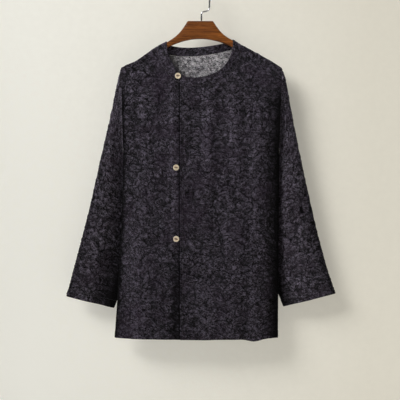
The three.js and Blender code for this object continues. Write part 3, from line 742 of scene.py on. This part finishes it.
def sleeve_fold(side, face, across, share):
    height = np.zeros(np.broadcast(across, share).shape)
    for place, start, end, width, high, drift in SLEEVE_FOLDS[side, face]:
        along = np.clip((share - start) / (end - start), 0, 1)
        ends = np.sin(np.pi * (along / 2 if end == 1 else along))
        centre = place + drift * (along - 0.5)
        height += high * bell(across - centre, width) * ends
    return height


def sleeve_across(turns):
    """Place across the sleeve, from -1 at its outer edge to 1 at its inner one."""
    cos = np.cos(turns)
    return -np.sign(cos) * np.abs(cos) ** (2 / SLEEVE_POWER)


def sleeve_points(side, shares, turns):
    """Points of the sleeve's rings. turns holds an angle for each point of each ring."""
    rows = curve_at(SLEEVES[side], shares)
    out_end, in_end = rows[:, None, 0:3], rows[:, None, 3:6]
    share = shares[:, None]
    joined = 1 - smoothstep(share, 0, SLEEVE_JOIN)
    sin, across = np.sin(turns), sleeve_across(turns)
    rise = np.abs(sin) ** (2 / SLEEVE_POWER)
    inward = (across + 1) / 2
    points = out_end + (in_end - out_end) * inward[..., None]
    drop = (out_end[..., 2] - in_end[..., 2]) * inward
    for face, column in ((FRONT, 6), (BACK, 7)):
        free = rows[:, None, column] * rise
        sewn = hang_depth(drop, ARMHOLE_DEPTH[face]) * armhole_open(inward)
        fold = sleeve_fold(side, face, across, share) * np.abs(sin)
        depth = face * (lerp(free, sewn, joined) + fold)
        points[..., 1] += np.where((sin > 0) == (face == FRONT), depth, 0)
    return points


def sleeve(side, materials):
    half_count, ring_count = 88, 273
    shares = np.linspace(0, 1, ring_count)
    dense = np.linspace(0, np.pi, 401)
    even = np.linspace(0, 1, half_count + 1)[:-1]
    turns = []
    for start in (0, np.pi):
        points = sleeve_points(side, shares, np.broadcast_to(start + dense, (ring_count, len(dense))))
        run = run_of(points.swapaxes(0, 1)).T
        turns.append(np.stack([start + np.interp(even * row[-1], row, dense) for row in run]))
    turns = np.concatenate(turns, axis=1)
    base = sleeve_points(side, shares, turns)
    around = np.roll(base, -1, axis=1) - np.roll(base, 1, axis=1)
    down = np.gradient(base, axis=0)
    normal = np.cross(around, down)
    normal /= np.maximum(np.linalg.norm(normal, axis=-1, keepdims=True), 1e-9)
    centre = base.mean(axis=1, keepdims=True)
    if np.sum(normal * (base - centre)) < 0:
        normal = -normal
    step = np.linalg.norm(np.roll(base, -1, axis=1) - base, axis=-1)
    run = np.cumsum(step, axis=1) - step
    total = run[:, -1:] + step[:, -1:]
    u = np.where(run > total / 2, run - total, run)
    from_top, from_cuff = to_borders(base, True)
    v = np.mean(from_top, axis=1, keepdims=True) + np.zeros_like(u)
    height, outline_and_painted_shade = jacquard(u + CUT_AT[side], v)
    underseam = np.abs(np.abs(u) - total / 2)
    flat, swell, thick = hem_form(from_cuff)
    flat *= near_seam(np.minimum(from_top, underseam))
    outline_and_painted_shade = outline_and_painted_shade * (0.3 + 0.7 * flat)
    inward = (sleeve_across(turns) + 1) / 2
    # Painted shade from the table, added to the dark outlines.
    for place, reach, strength in SLEEVE_SHADE[side]:
        outline_and_painted_shade += strength * bell(inward - place, reach) * smoothstep(shares[:, None], 0.1, 0.75)
    made = shell(f"cloth_sleeve_{side}", base, normal, height * flat, swell, np.clip(outline_and_painted_shade, 0, 1), thick,
                 True, materials, from_cuff < HEM_DEPTH)
    return made, (base, normal)


def rings_round(centres, first, second, radii, turn):
    """Points of rings round centres, in the plane of two directions at each of them."""
    radii = np.broadcast_to(radii, (len(centres), len(turn)))[..., None]
    spoke = np.cos(turn)[:, None] * first[:, None] + np.sin(turn)[:, None] * second[:, None]
    return centres[:, None] + radii * spoke


def stitches(name, path, normals, material):
    """Short raised stitches along a line on the cloth."""
    length, radius = STITCH["length"], STITCH["radius"]
    run = run_of(path)
    rings, swell, sink = np.array(STITCH["rings"]).T
    turn = np.arange(STITCH["sides"]) * 2 * np.pi / STITCH["sides"]
    index = np.arange(len(rings) * len(turn)).reshape(len(rings), -1)
    points, faces = [], []
    for start in np.arange(STITCH["pitch"] / 2, run[-1] - length, STITCH["pitch"]):
        at = start + rings * length
        centre = points_at(at, run, path)
        out = points_at(at, run, normals)
        out /= np.linalg.norm(out, axis=1, keepdims=True)
        along = centre[-1] - centre[0]
        along /= np.linalg.norm(along)
        centre += out * (STITCH["rise"] + sink * radius)[:, None]
        faces += capped(index + len(points) * index.size)
        points.append(rings_round(centre, np.cross(out, along), out, (radius * swell)[:, None], turn))
    return add_object(name, np.concatenate(points).reshape(-1, 3), faces, [material])


class Looks:
    """A material's node tree with short ways to add and link nodes."""

    def __init__(self, name):
        self.material = bpy.data.materials.new(name)
        self.material.use_nodes = True
        self.tree = self.material.node_tree
        self.shader = self.tree.nodes["Principled BSDF"]

    def feed(self, node, inputs):
        """Links each input to another node's output, or else sets it. None leaves it as it is."""
        for key, value in inputs.items():
            socket = node.inputs[key]
            if isinstance(value, bpy.types.NodeSocket):
                self.tree.links.new(value, socket)
            elif value is not None:
                socket.default_value = (*value, 1) if socket.type == "RGBA" else value

    def add(self, kind, inputs=None, **settings):
        node = self.tree.nodes.new(kind)
        for key, value in settings.items():
            setattr(node, key, value)
        self.feed(node, inputs or {})
        return node

    def fact(self, name):
        return self.add("ShaderNodeAttribute", attribute_name=name).outputs["Fac"]

    def place(self, scale=(1, 1, 1)):
        coordinates = self.add("ShaderNodeTexCoord").outputs["Object"]
        return self.add("ShaderNodeMapping", {"Vector": coordinates, "Scale": scale}).outputs["Vector"]

    def noise(self, vector, scale, detail=2.0, roughness=0.5, distortion=0.0):
        inputs = {"Vector": vector, "Scale": scale, "Detail": detail}
        inputs.update({"Roughness": roughness, "Distortion": distortion})
        return self.add("ShaderNodeTexNoise", inputs).outputs["Fac"]

    def math(self, operation, a, b=None):
        return self.add("ShaderNodeMath", {0: a, 1: b}, operation=operation).outputs[0]

    def far_from_middle(self, value):
        """How far a noise value is from its middle."""
        return self.math("ABSOLUTE", self.math("SUBTRACT", value, 0.5))

    def ramp(self, value, low, high, to_low=0.0, to_high=1.0):
        inputs = {"Value": value, "From Min": low, "From Max": high, "To Min": to_low, "To Max": to_high}
        return self.add("ShaderNodeMapRange", inputs).outputs[0]

    def mix(self, factor, a, b):
        return self.add("ShaderNodeMix", {0: factor, 6: a, 7: b}, data_type="RGBA").outputs[2]

    def bump(self, height, distance, before=None):
        inputs = {"Height": height, "Distance": distance, "Strength": 1, "Normal": before}
        return self.add("ShaderNodeBump", inputs).outputs["Normal"]

    def finish(self, colour, roughness, normal=None, **others):
        self.feed(self.shader, {"Base Color": colour, "Roughness": roughness, "Normal": normal})
        self.feed(self.shader, {key.replace("_", " "): value for key, value in others.items()})
        return self.material


def linear(*srgb):
    """Linear colour of an sRGB one from 0 to 255."""
    shares = [value / 255 for value in srgb]
    return tuple(s / 12.92 if s <= 0.04045 else ((s + 0.055) / 1.055) ** 2.4 for s in shares)


def cloth_look(name, dark, plain, light, tint, stretch, shine):
    """Jacquard: stretch is how much longer than high its crinkles are, shine its gloss."""
    looks = Looks(name)
    place = looks.place((1, 1, stretch))
    height_and_fold_shade = looks.ramp(looks.fact("height_and_fold_shade"), -1.6, 1.45)
    swells = looks.noise(looks.place((1, 1, 1.2)), 24, 1, 0.4)
    patches = looks.noise(looks.place(), 14, 3, 0.6)
    crinkle = looks.noise(place, 60, 1, 0.5, 0.8)
    creased = looks.far_from_middle(crinkle)
    pinched = looks.far_from_middle(looks.noise(place, 115, 2, 0.75, 0.8))
    weave = looks.noise(place, 900, 1, 0.5)
    # Painted light and shade on the relief: the colour is lighter on raised parts and darker in creases and
    # thin crease lines, after the same heights and noises that make the bumps; the wrong side's colours are
    # given the other way round, so there the right side's hills are painted darker.
    shade = looks.math("ADD", height_and_fold_shade, looks.math("MULTIPLY", looks.math("SUBTRACT", creased, 0.09), 0.7))
    shade = looks.math("ADD", shade, looks.ramp(pinched, 0, 0.06, -0.78, 0.19))
    colour = looks.mix(looks.ramp(shade, 0.05, 0.5), dark, plain)
    colour = looks.mix(looks.ramp(shade, 0.5, 1.05), colour, light)
    colour = looks.mix(looks.ramp(patches, 0.45, 0.68, 0, 0.5), colour, tint)
    # Painted shade: the dark outlines' attribute also carries painted shade from the gaps and creases, and
    # both are mixed towards the dark colour.
    colour = looks.mix(looks.fact("outline_and_painted_shade"), colour, dark)
    normal = looks.bump(swells, 0.022)
    normal = looks.bump(creased, 0.009, normal)
    normal = looks.bump(pinched, 0.006, normal)
    normal = looks.bump(weave, 0.0001, normal)
    matt = looks.ramp(shade, 0.1, 0.9, 0.7, 0.52)
    roughness = looks.math("MAXIMUM", matt, looks.ramp(looks.fact("outline_and_painted_shade"), 0, 1, 0.5, 1))
    return looks.finish(colour, roughness, normal, Specular_IOR_Level=shine)


def thread_look(name, low, high):
    looks = Looks(name)
    twist = looks.noise(looks.place(), 2600, 1)
    colour = looks.mix(looks.ramp(twist, 0.35, 0.65), low, high)
    return looks.finish(colour, 0.7, looks.bump(twist, 0.0001), Sheen_Weight=0.2)


def wood_look():
    looks = Looks("varnished_wood")
    grain = looks.noise(looks.place((3.5, 66, 66)), 3.2, 5, 0.62, 1.3)
    pores = looks.noise(looks.place((14, 420, 420)), 2.4, 2, 0.5)
    board = looks.noise(looks.place((2.4, 9, 9)), 1.6, 2)
    colour = looks.mix(looks.ramp(grain, 0.36, 0.64), linear(90, 46, 12), linear(158, 94, 36))
    colour = looks.mix(looks.ramp(pores, 0.52, 0.66, 0, 0.7), colour, linear(52, 24, 7))
    colour = looks.mix(looks.ramp(board, 0.35, 0.7, 0, 0.4), colour, linear(98, 51, 15))
    normal = looks.bump(pores, 0.00012)
    return looks.finish(colour, looks.ramp(grain, 0.3, 0.7, 0.5, 0.38), normal, Coat_Weight=0.08,
                        Coat_Roughness=0.3, Specular_IOR_Level=0.2)


def chrome_look():
    looks = Looks("bright_chrome")
    smudge = looks.noise(looks.place(), 90, 3)
    return looks.finish(linear(196, 196, 199), looks.ramp(smudge, 0.3, 0.7, 0.1, 0.2), Metallic=1.0)


def button_look():
    looks = Looks("cream_button")
    marble = looks.noise(looks.place(), 260, 4, 0.6, 1.5)
    hollow = looks.fact("hollow")
    colour = looks.mix(looks.ramp(marble, 0.35, 0.68), linear(214, 196, 168), linear(243, 229, 205))
    colour = looks.mix(looks.ramp(hollow, 0.15, 0.8), colour, linear(122, 92, 62))
    return looks.finish(colour, 0.32, looks.bump(marble, 0.00005), Coat_Weight=0.3, Coat_Roughness=0.2)


def wall_look(name, colour, far, one_sided):
    """Matt plaster, painted from colour on the left to far on the right, which is painted light falloff on
    the wall; it also glows, a little more low down, as painted light that lifts its shadows. A one-sided wall
    isn't seen from behind.
    """
    looks = Looks(name)
    grain = looks.noise(looks.place(), 60, 4, 0.6)
    parts = looks.add("ShaderNodeSeparateXYZ", {"Vector": looks.place()}).outputs
    # Painted light: the paint runs from one shade to the other across the wall.
    paint = looks.mix(looks.ramp(parts["X"], -0.45, 0.45), colour, far)
    paint = looks.mix(looks.ramp(grain, 0.3, 0.7, 0, 0.04), paint, (0.3, 0.28, 0.24))
    # Painted light: the plaster glows, a little more low down, which lifts its shadows.
    glow = looks.ramp(parts["Z"], -1, 0, 0.5, 0.3)
    looks.finish(paint, 0.95, looks.bump(grain, 0.0006), Specular_IOR_Level=0.2,
                 Emission_Color=paint, Emission_Strength=glow)
    if one_sided:
        clear = looks.add("ShaderNodeBsdfTransparent").outputs[0]
        behind = looks.add("ShaderNodeNewGeometry").outputs["Backfacing"]
        both = looks.add("ShaderNodeMixShader", {0: behind, 1: looks.shader.outputs[0], 2: clear})
        looks.feed(looks.tree.nodes["Material Output"], {"Surface": both.outputs[0]})
    return looks.material


def seat_at(x, z):
    """The point and the normal of the front's cloth at one place."""
    (point,), (normal,) = cloth_at(np.array([x], float), np.array([z], float), FRONT)
    return point, normal


def button(number, x, z, looks, thread):
    """A fish-eye button: a raised rim, an almond-shaped hollow with two holes, and its thread."""
    radius, thickness, bevel = BUTTON["radius"], BUTTON["thickness"], BUTTON["bevel"]
    seat, normal = seat_at(x, z)
    low = SEAM + SHANK["height"]
    high = low + thickness
    rings = np.array([0, 0.35, 0.7, 1.05, 1.4, 1.8, 2.2, 2.6, 3, 3.4, 3.9, 4.4, 4.9, 5.4, 6, 6.5, 7,
                      7.35, 7.6, 7.75, radius])
    around = BUTTON["around"]
    turn = np.arange(around) * 2 * np.pi / around
    r, t = np.meshgrid(rings, turn, indexing="ij")
    a, b = r * np.cos(t), r * np.sin(t)
    eye = 1 - (a / BUTTON_EYE["half_length"]) ** 2 - (np.abs(b) / BUTTON_EYE["half_height"]) ** 1.6
    eye = np.clip(eye, 0, 1)
    holes = np.exp(-((np.abs(a) - BUTTON_EYE["hole_at"]) ** 2 + b ** 2) / 0.62)
    rim = bell(r - BUTTON["rim_at"], BUTTON["rim_width"])
    top = high - 0.3 + 0.3 * rim - BUTTON["dish"] * smoothstep(5.6 - r, 0, 2)
    top -= BUTTON_EYE["depth"] * smoothstep(eye, 0, 0.75) + BUTTON_EYE["hole_depth"] * holes
    fall = np.clip((r - (radius - bevel)) / bevel, 0, 0.999)
    top -= bevel * (1 - np.sqrt(1 - fall ** 2))
    under_rings = np.array([radius, radius - 0.25, radius - bevel, 4, SHANK["radius"], SHANK["radius"], 0.01])
    under_heights = np.array([low + bevel, low + 0.3, low, low, low, SEAM, SEAM])
    profile_r = np.concatenate([r, np.repeat(under_rings[:, None], around, 1)])
    profile_h = np.concatenate([top, np.repeat(under_heights[:, None], around, 1)])
    side = np.cross(normal, (0, 0, 1))
    side /= np.linalg.norm(side)
    up = np.cross(side, normal)
    lean = math.radians(-8 + 11 * number)
    first = side * math.cos(lean) + up * math.sin(lean)
    second = np.cross(normal, first)
    points = seat + profile_h[..., None] * normal
    points += (profile_r * np.cos(turn))[..., None] * first + (profile_r * np.sin(turn))[..., None] * second
    index = np.arange(profile_r.size).reshape(-1, around)
    index[0] = 0
    index[-1] = index[-1, 0]
    faces = [list(dict.fromkeys(face)) for face in quads(closed(index)).tolist()]
    hollow = np.zeros_like(profile_r)
    hollow[:len(rings)] = np.maximum(smoothstep(eye, 0, 0.5), holes)
    facts = {"hollow": hollow.ravel()}
    disc = add_object(f"disc_button_{number}", points.reshape(-1, 3), faces, [looks], facts=facts)
    clean_mesh(disc)
    share = np.linspace(-1, 1, 9)[:, None]
    arch = BUTTON_THREAD["arch"] * np.sin(np.pi * (share + 1) / 2) - BUTTON_THREAD["sunk"]
    path = seat + normal * (high - 1.55 + arch) + first * (BUTTON_EYE["hole_at"] * share)
    strands = [tube(f"thread_button_{number}_{k}", path + second * off, BUTTON_THREAD["radius"], 8, [thread])
               for k, off in enumerate((-BUTTON_THREAD["apart"], BUTTON_THREAD["apart"]))]
    return disc, strands


def clean_mesh(made):
    """Removes loose points and sets the faces to point outwards."""
    work = bmesh.new()
    work.from_mesh(made.data)
    bmesh.ops.delete(work, geom=[v for v in work.verts if not v.link_faces], context="VERTS")
    bmesh.ops.remove_doubles(work, verts=work.verts, dist=1e-7)
    bmesh.ops.recalc_face_normals(work, faces=work.faces)
    work.to_mesh(made.data)
    work.free()


def smooth_path(points, count):
    """Even places on a curve through the points."""
    points = np.asarray(points, float)
    dense = curve_at(points, np.linspace(0, 1, 60 * len(points)))
    run = run_of(dense)
    return points_at(np.linspace(0, run[-1], count), run, dense)


def tube(name, path, radius, sides, materials, ends=0.0, wave=None):
    """A rod along a path, with rounded ends of a given length."""
    along = np.gradient(path, axis=0)
    along /= np.linalg.norm(along, axis=1, keepdims=True)
    guide = np.array([0.0, 1.0, 0.0])
    across = np.cross(along, guide)
    for i in range(len(across)):
        if np.linalg.norm(across[i]) < 0.2:
            across[i] = across[i - 1] if i else np.cross(along[i], (0, 0, 1.0))
    across /= np.linalg.norm(across, axis=1, keepdims=True)
    over = np.cross(along, across)
    run = run_of(path)[:, None]
    radii = np.full_like(run, radius)
    if ends:
        near = np.minimum(run, run[-1] - run) / ends
        radii *= np.sqrt(np.clip(1 - (1 - np.minimum(near, 1)) ** 2, 0.0004, 1))
    turn = np.arange(sides) * 2 * np.pi / sides
    points = rings_round(path, across, over, radii * (wave(run, turn) if wave else 1), turn)
    index = np.arange(len(path) * sides).reshape(-1, sides)
    made = add_object(name, points.reshape(-1, 3), capped(index), materials)
    clean_mesh(made)
    return made


def cord_loop(number, x, z, thread):
    """A twisted cord from the wrap's edge round the button's shank."""
    seat, normal = seat_at(x, z)
    to_edge = np.array([1.0, 0, 0]) - normal * normal[0]
    to_edge /= np.linalg.norm(to_edge)
    up = np.cross(normal, to_edge)
    bend = SHANK["radius"] + SEAM + LOOP_CORD["radius"]
    reach = (WRAP["edge_x"] - 2 * SEAM - x) / to_edge[0]

    def place(a, b):
        at = seat + to_edge * a + up * b
        depth = body_depth(at[:1], at[2:], FRONT)[0]
        return np.array([at[0], -depth - LOOP_CORD["radius"] - LOOP_CORD["clear"], at[2]])

    points = [place(bend * math.cos(t), bend * math.sin(t)) for t in np.pi * np.linspace(0.5, 1.5, 7)]
    points = [place(reach, bend), *points, place(reach, -bend)]

    def twist(run, turn):
        return 1 + 0.13 * np.cos(2 * (turn - run * 2.1))

    path = smooth_path(points, 110)
    return tube(f"cord_loop_{number}", path, 0.9 * LOOP_CORD["radius"], 12, [thread], wave=twist)


def wood_top(x):
    out = np.abs(x)
    arm = crest_z(x) - WOOD["clear"]
    share = (out - WOOD["top_half"]) / (WOOD["neck_half"] - WOOD["top_half"])
    neck_z = crest_z(np.sign(x) * WOOD["neck_half"]) - WOOD["clear"]
    slope = lerp(WOOD["top_z"], neck_z, share) - WOOD["neck_bow"] * np.sin(np.pi * share) * (1 - share / 2)
    return np.where(out <= WOOD["top_half"], WOOD["top_z"], np.where(out >= WOOD["neck_half"], arm, slope))


def wood_bottom(x):
    out = np.abs(x)
    tip = np.where(x < 0, -SIDES[RIGHT][0, 1], SIDES[LEFT][0, 1]) - WOOD["tip_inset"]
    share = (out - WOOD["neck_half"]) / (tip - WOOD["neck_half"])
    height = lerp(WOOD["arm_height"], WOOD["tip_height"], share)
    arch = WOOD["arch_z"] - WOOD["arch_curve"] * x * x
    return np.where(out <= WOOD["neck_half"], arch, wood_top(x) - height)


def soften(values, reach):
    """Rounds the corners of a curve of even samples."""
    kernel = np.hanning(2 * reach + 3)[1:-1]
    kernel /= kernel.sum()
    padded = np.concatenate([np.full(reach, values[0]), values, np.full(reach, values[-1])])
    return np.convolve(padded, kernel, "valid")


def hanger_body(look):
    """The wooden hanger: sections with rounded edges from tip to tip."""
    low_x = SIDES[RIGHT][0, 1] + WOOD["tip_inset"]
    high_x = SIDES[LEFT][0, 1] - WOOD["tip_inset"]
    x = np.linspace(low_x, high_x, 361)
    top, bottom = soften(wood_top(x), 2), soften(wood_bottom(x), 3)
    to_tip = np.minimum(x - low_x, high_x - x) / WOOD["tip_round"]
    shrink = np.sqrt(np.clip(1 - (1 - np.minimum(to_tip, 1)) ** 2, 0.003, 1))
    middle, half = (top + bottom) / 2, (top - bottom) / 2 * shrink
    depth = WOOD["thickness"] / 2 * lerp(0.6, 1, shrink)
    edge = np.minimum(WOOD["edge"], np.minimum(half, depth) * 0.9)[:, None]
    points = []
    for k, (sign_y, sign_z) in enumerate(((1, 1), (-1, 1), (-1, -1), (1, -1))):
        turn = np.pi / 2 * (k + np.linspace(0, 1, 7))
        y = sign_y * (depth[:, None] - edge) + edge * np.cos(turn)
        z = middle[:, None] + sign_z * (half[:, None] - edge) + edge * np.sin(turn)
        points.append(np.stack([np.broadcast_to(x[:, None], y.shape), y, z], -1))
    grid = np.concatenate(points, axis=1)
    index = np.arange(grid.size // 3).reshape(grid.shape[:2])
    made = add_object("wood_body", grid.reshape(-1, 3), capped(index), [look])
    clean_mesh(made)
    return made


def hanger_hook(look):
    """The bent wire with rounded ends."""
    radius = HOOK["radius"]
    centre_z = HOOK["rod"] - radius
    foot = (HOOK["stem_x"], WOOD["top_z"] + SEAM)
    arc = [(radius * math.cos(t), centre_z + radius * math.sin(t)) for t in np.linspace(0, math.pi, 11)]
    route = [foot, *HOOK["jog"], *arc, (-radius, centre_z - HOOK["tip_drop"])]
    path = smooth_path([(x, 0, z) for x, z in route], 190)
    return tube("wire_hook", path, HOOK["rod"], 20, [look], ends=HOOK["rod"])


def stage():
    """A pale wall close behind, a pale floor well below, and soft studio light."""
    wall_y, floor_z, half = 56, -1620, 6000
    wall_spots = ((-half, floor_z), (half, floor_z), (half, half), (-half, half))
    floor_spots = ((-half, -half), (half, -half), (half, half), (-half, half))
    wall_corners = [(x, wall_y, z) for x, z in wall_spots]
    floor_corners = [(x, y, floor_z) for x, y in floor_spots]
    # Painted light: the wall's paint runs darker towards the right, as if lit from the left.
    wall_paint = wall_look("pale_wall", linear(225, 224, 217), linear(206, 202, 190), True)
    wall = add_object("studio_wall", wall_corners, [[0, 1, 2, 3]], [wall_paint], smooth=False)
    floor_paint = wall_look("pale_floor", linear(222, 219, 210), linear(222, 219, 210), False)
    floor = add_object("studio_floor", floor_corners, [[0, 1, 2, 3]], [floor_paint], smooth=False)
    wall.visible_diffuse = wall.visible_glossy = wall.visible_shadow = False
    lamps = [
        ("key", (-2.1, -2.1, 2.0), (0.14, 0, 0.3), 19, 2.4, 52, (1, 0.995, 0.98)),
        ("fill", (-0.6, -3.6, 0.2), (0, 0, -0.52), 3, 2.4, 180, (1, 0.99, 0.97)),
        ("rear", (0.7, 2.4, 0.5), (0, 0, -0.52), 26, 2.0, 180, (1, 1, 1)),
    ]
    for name, place, target, power, size, spread, colour in lamps:
        data = bpy.data.lights.new(f"lamp_{name}", "AREA")
        data.shape = "DISK"
        data.size = size
        data.energy = power
        data.spread = math.radians(spread)
        data.color = colour
        lamp = bpy.data.objects.new(f"lamp_{name}", data)
        lamp.location = place
        lamp.rotation_euler = (Vector(target) - Vector(place)).to_track_quat("-Z", "Y").to_euler()
        bpy.context.scene.collection.objects.link(lamp)
    world = bpy.data.worlds.new("studio")
    world.use_nodes = True
    sky = world.node_tree.nodes["Background"].inputs
    sky["Color"].default_value = (0.95, 0.925, 0.87, 1)
    sky["Strength"].default_value = 0.11
    bpy.context.scene.world = world
    bpy.context.scene.view_settings.view_transform = "Standard"


def camera():
    """Level, straight in front, with the photograph's frame of 1.04 m."""
    frame_width, distance, centre = 1.04, 3.0, (-0.0008, -0.5574)
    data = bpy.data.cameras.new("front_camera")
    data.sensor_width = 36
    data.lens = 36 * distance / frame_width
    data.clip_end = 50
    made = bpy.data.objects.new("front_camera", data)
    made.location = (centre[0], -distance, centre[1])
    made.rotation_euler = (math.pi / 2, 0, 0)
    bpy.context.scene.collection.objects.link(made)
    bpy.context.scene.camera = made


def place(piece, slot, *nodes):
    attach(piece, "root")
    if nodes:
        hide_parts(*nodes)
    return piece


camera()
stage()

right_side = cloth_look("jacquard_right_side", linear(5, 4, 6), linear(39, 36, 43), linear(107, 100, 116),
                        linear(50, 38, 54), 1.5, 0.16)
# Painted light: the sleeves get a lighter copy of the right side's jacquard, so they show lighter than the
# body.
lighter_sleeve_side = cloth_look("jacquard_sleeves_painted_lighter", linear(5, 4, 6), linear(46, 43, 50), linear(127, 119, 136),
                         linear(54, 43, 57), 1.5, 0.18)
wrong_side = cloth_look("jacquard_wrong_side", linear(228, 225, 230), linear(88, 85, 91),
                        linear(54, 52, 57), linear(80, 77, 83), 3.4, 0.2)
dark_thread = thread_look("dark_thread", linear(16, 15, 18), linear(36, 33, 39))
cream_thread = thread_look("cream_thread", linear(150, 130, 104), linear(196, 178, 150))

panel_looks = [right_side, wrong_side]
left_piece, left_grid = front_left(panel_looks)
right_piece, right_grid = front_right(panel_looks)
back_piece, back_grid = back_panel(panel_looks)
band_piece, band_grid = neckband([right_side, right_side])
sleeve_pieces = {side: sleeve(side, [lighter_sleeve_side, wrong_side]) for side in (RIGHT, LEFT)}


def hem_line(name, grid, closed_ring=False):
    """Stitches along the points of a grid that lie nearest to the top of its hem."""
    base, normal = grid
    from_hem = to_borders(base, True)[1].mean(axis=1)
    row = int(np.argmin(np.abs(from_hem - HEM_DEPTH)))
    around = list(range(base.shape[1])) + [0] * closed_ring
    return stitches(f"stitches_{name}", base[row, around], normal[row, around], dark_thread)


wrap_z = np.linspace(-262, -912, 330)
wrap_x = np.full_like(wrap_z, WRAP["edge_x"] + 6.5)
wrap_path, wrap_normals = cloth_at(wrap_x, wrap_z, FRONT, wrap_lift(wrap_x) + edge_curl(wrap_x))

hem_stitches = {name: hem_line(f"hem_{name}", grid)
                for name, grid in (("left", left_grid), ("right", right_grid), ("back", back_grid))}
cuff_stitches = {side: hem_line(f"cuff_{side}", sleeve_pieces[side][1], True) for side in (RIGHT, LEFT)}
wrap_stitches = stitches("stitches_wrap", wrap_path, wrap_normals, dark_thread)
band_stitches = [stitches(f"stitches_band_{number}", *(part[:, column] for part in band_grid), dark_thread)
                 for number, column in enumerate((1, 13), 1)]

sheets = [
    (left_piece, "front_left", (0.29, 0.77), 0.2, ["hanger_body"], [hem_stitches["left"], wrap_stitches]),
    (right_piece, "front_right", (0.23, 0.77), 0.155, ["hanger_body"], [hem_stitches["right"]]),
    (back_piece, "back_panel", (0.46, 0.79), 0.33, ["hanger_body"], [hem_stitches["back"]]),
    (band_piece, "neckband", (0.62, 0.023), None, ["cloth_back"], band_stitches),
]
for side in (RIGHT, LEFT):
    sheets.append((sleeve_pieces[side][0], f"sleeve_{side}", (0.43, 0.62), 0.135, ["cloth_back"],
                   [cuff_stitches[side]]))
for piece, node, flat, area, rests_on, with_pieces in sheets:
    place(piece, "cloth", node)
    for extra in with_pieces:
        place(extra, "cloth")

button_finish = button_look()
for number, (x, z) in enumerate(BUTTONS, 1):
    disc, strands = button(number, x, z, button_finish, cream_thread)
    place(disc, "button", f"button_{number}")
    for strand in strands:
        place(strand, "button")
    place(cord_loop(number, x, z, dark_thread), "cord", f"loop_{number}")

place(hanger_body(wood_look()), "wood", "hanger_body")
place(hanger_hook(chrome_look()), "chrome", "hanger_hook")
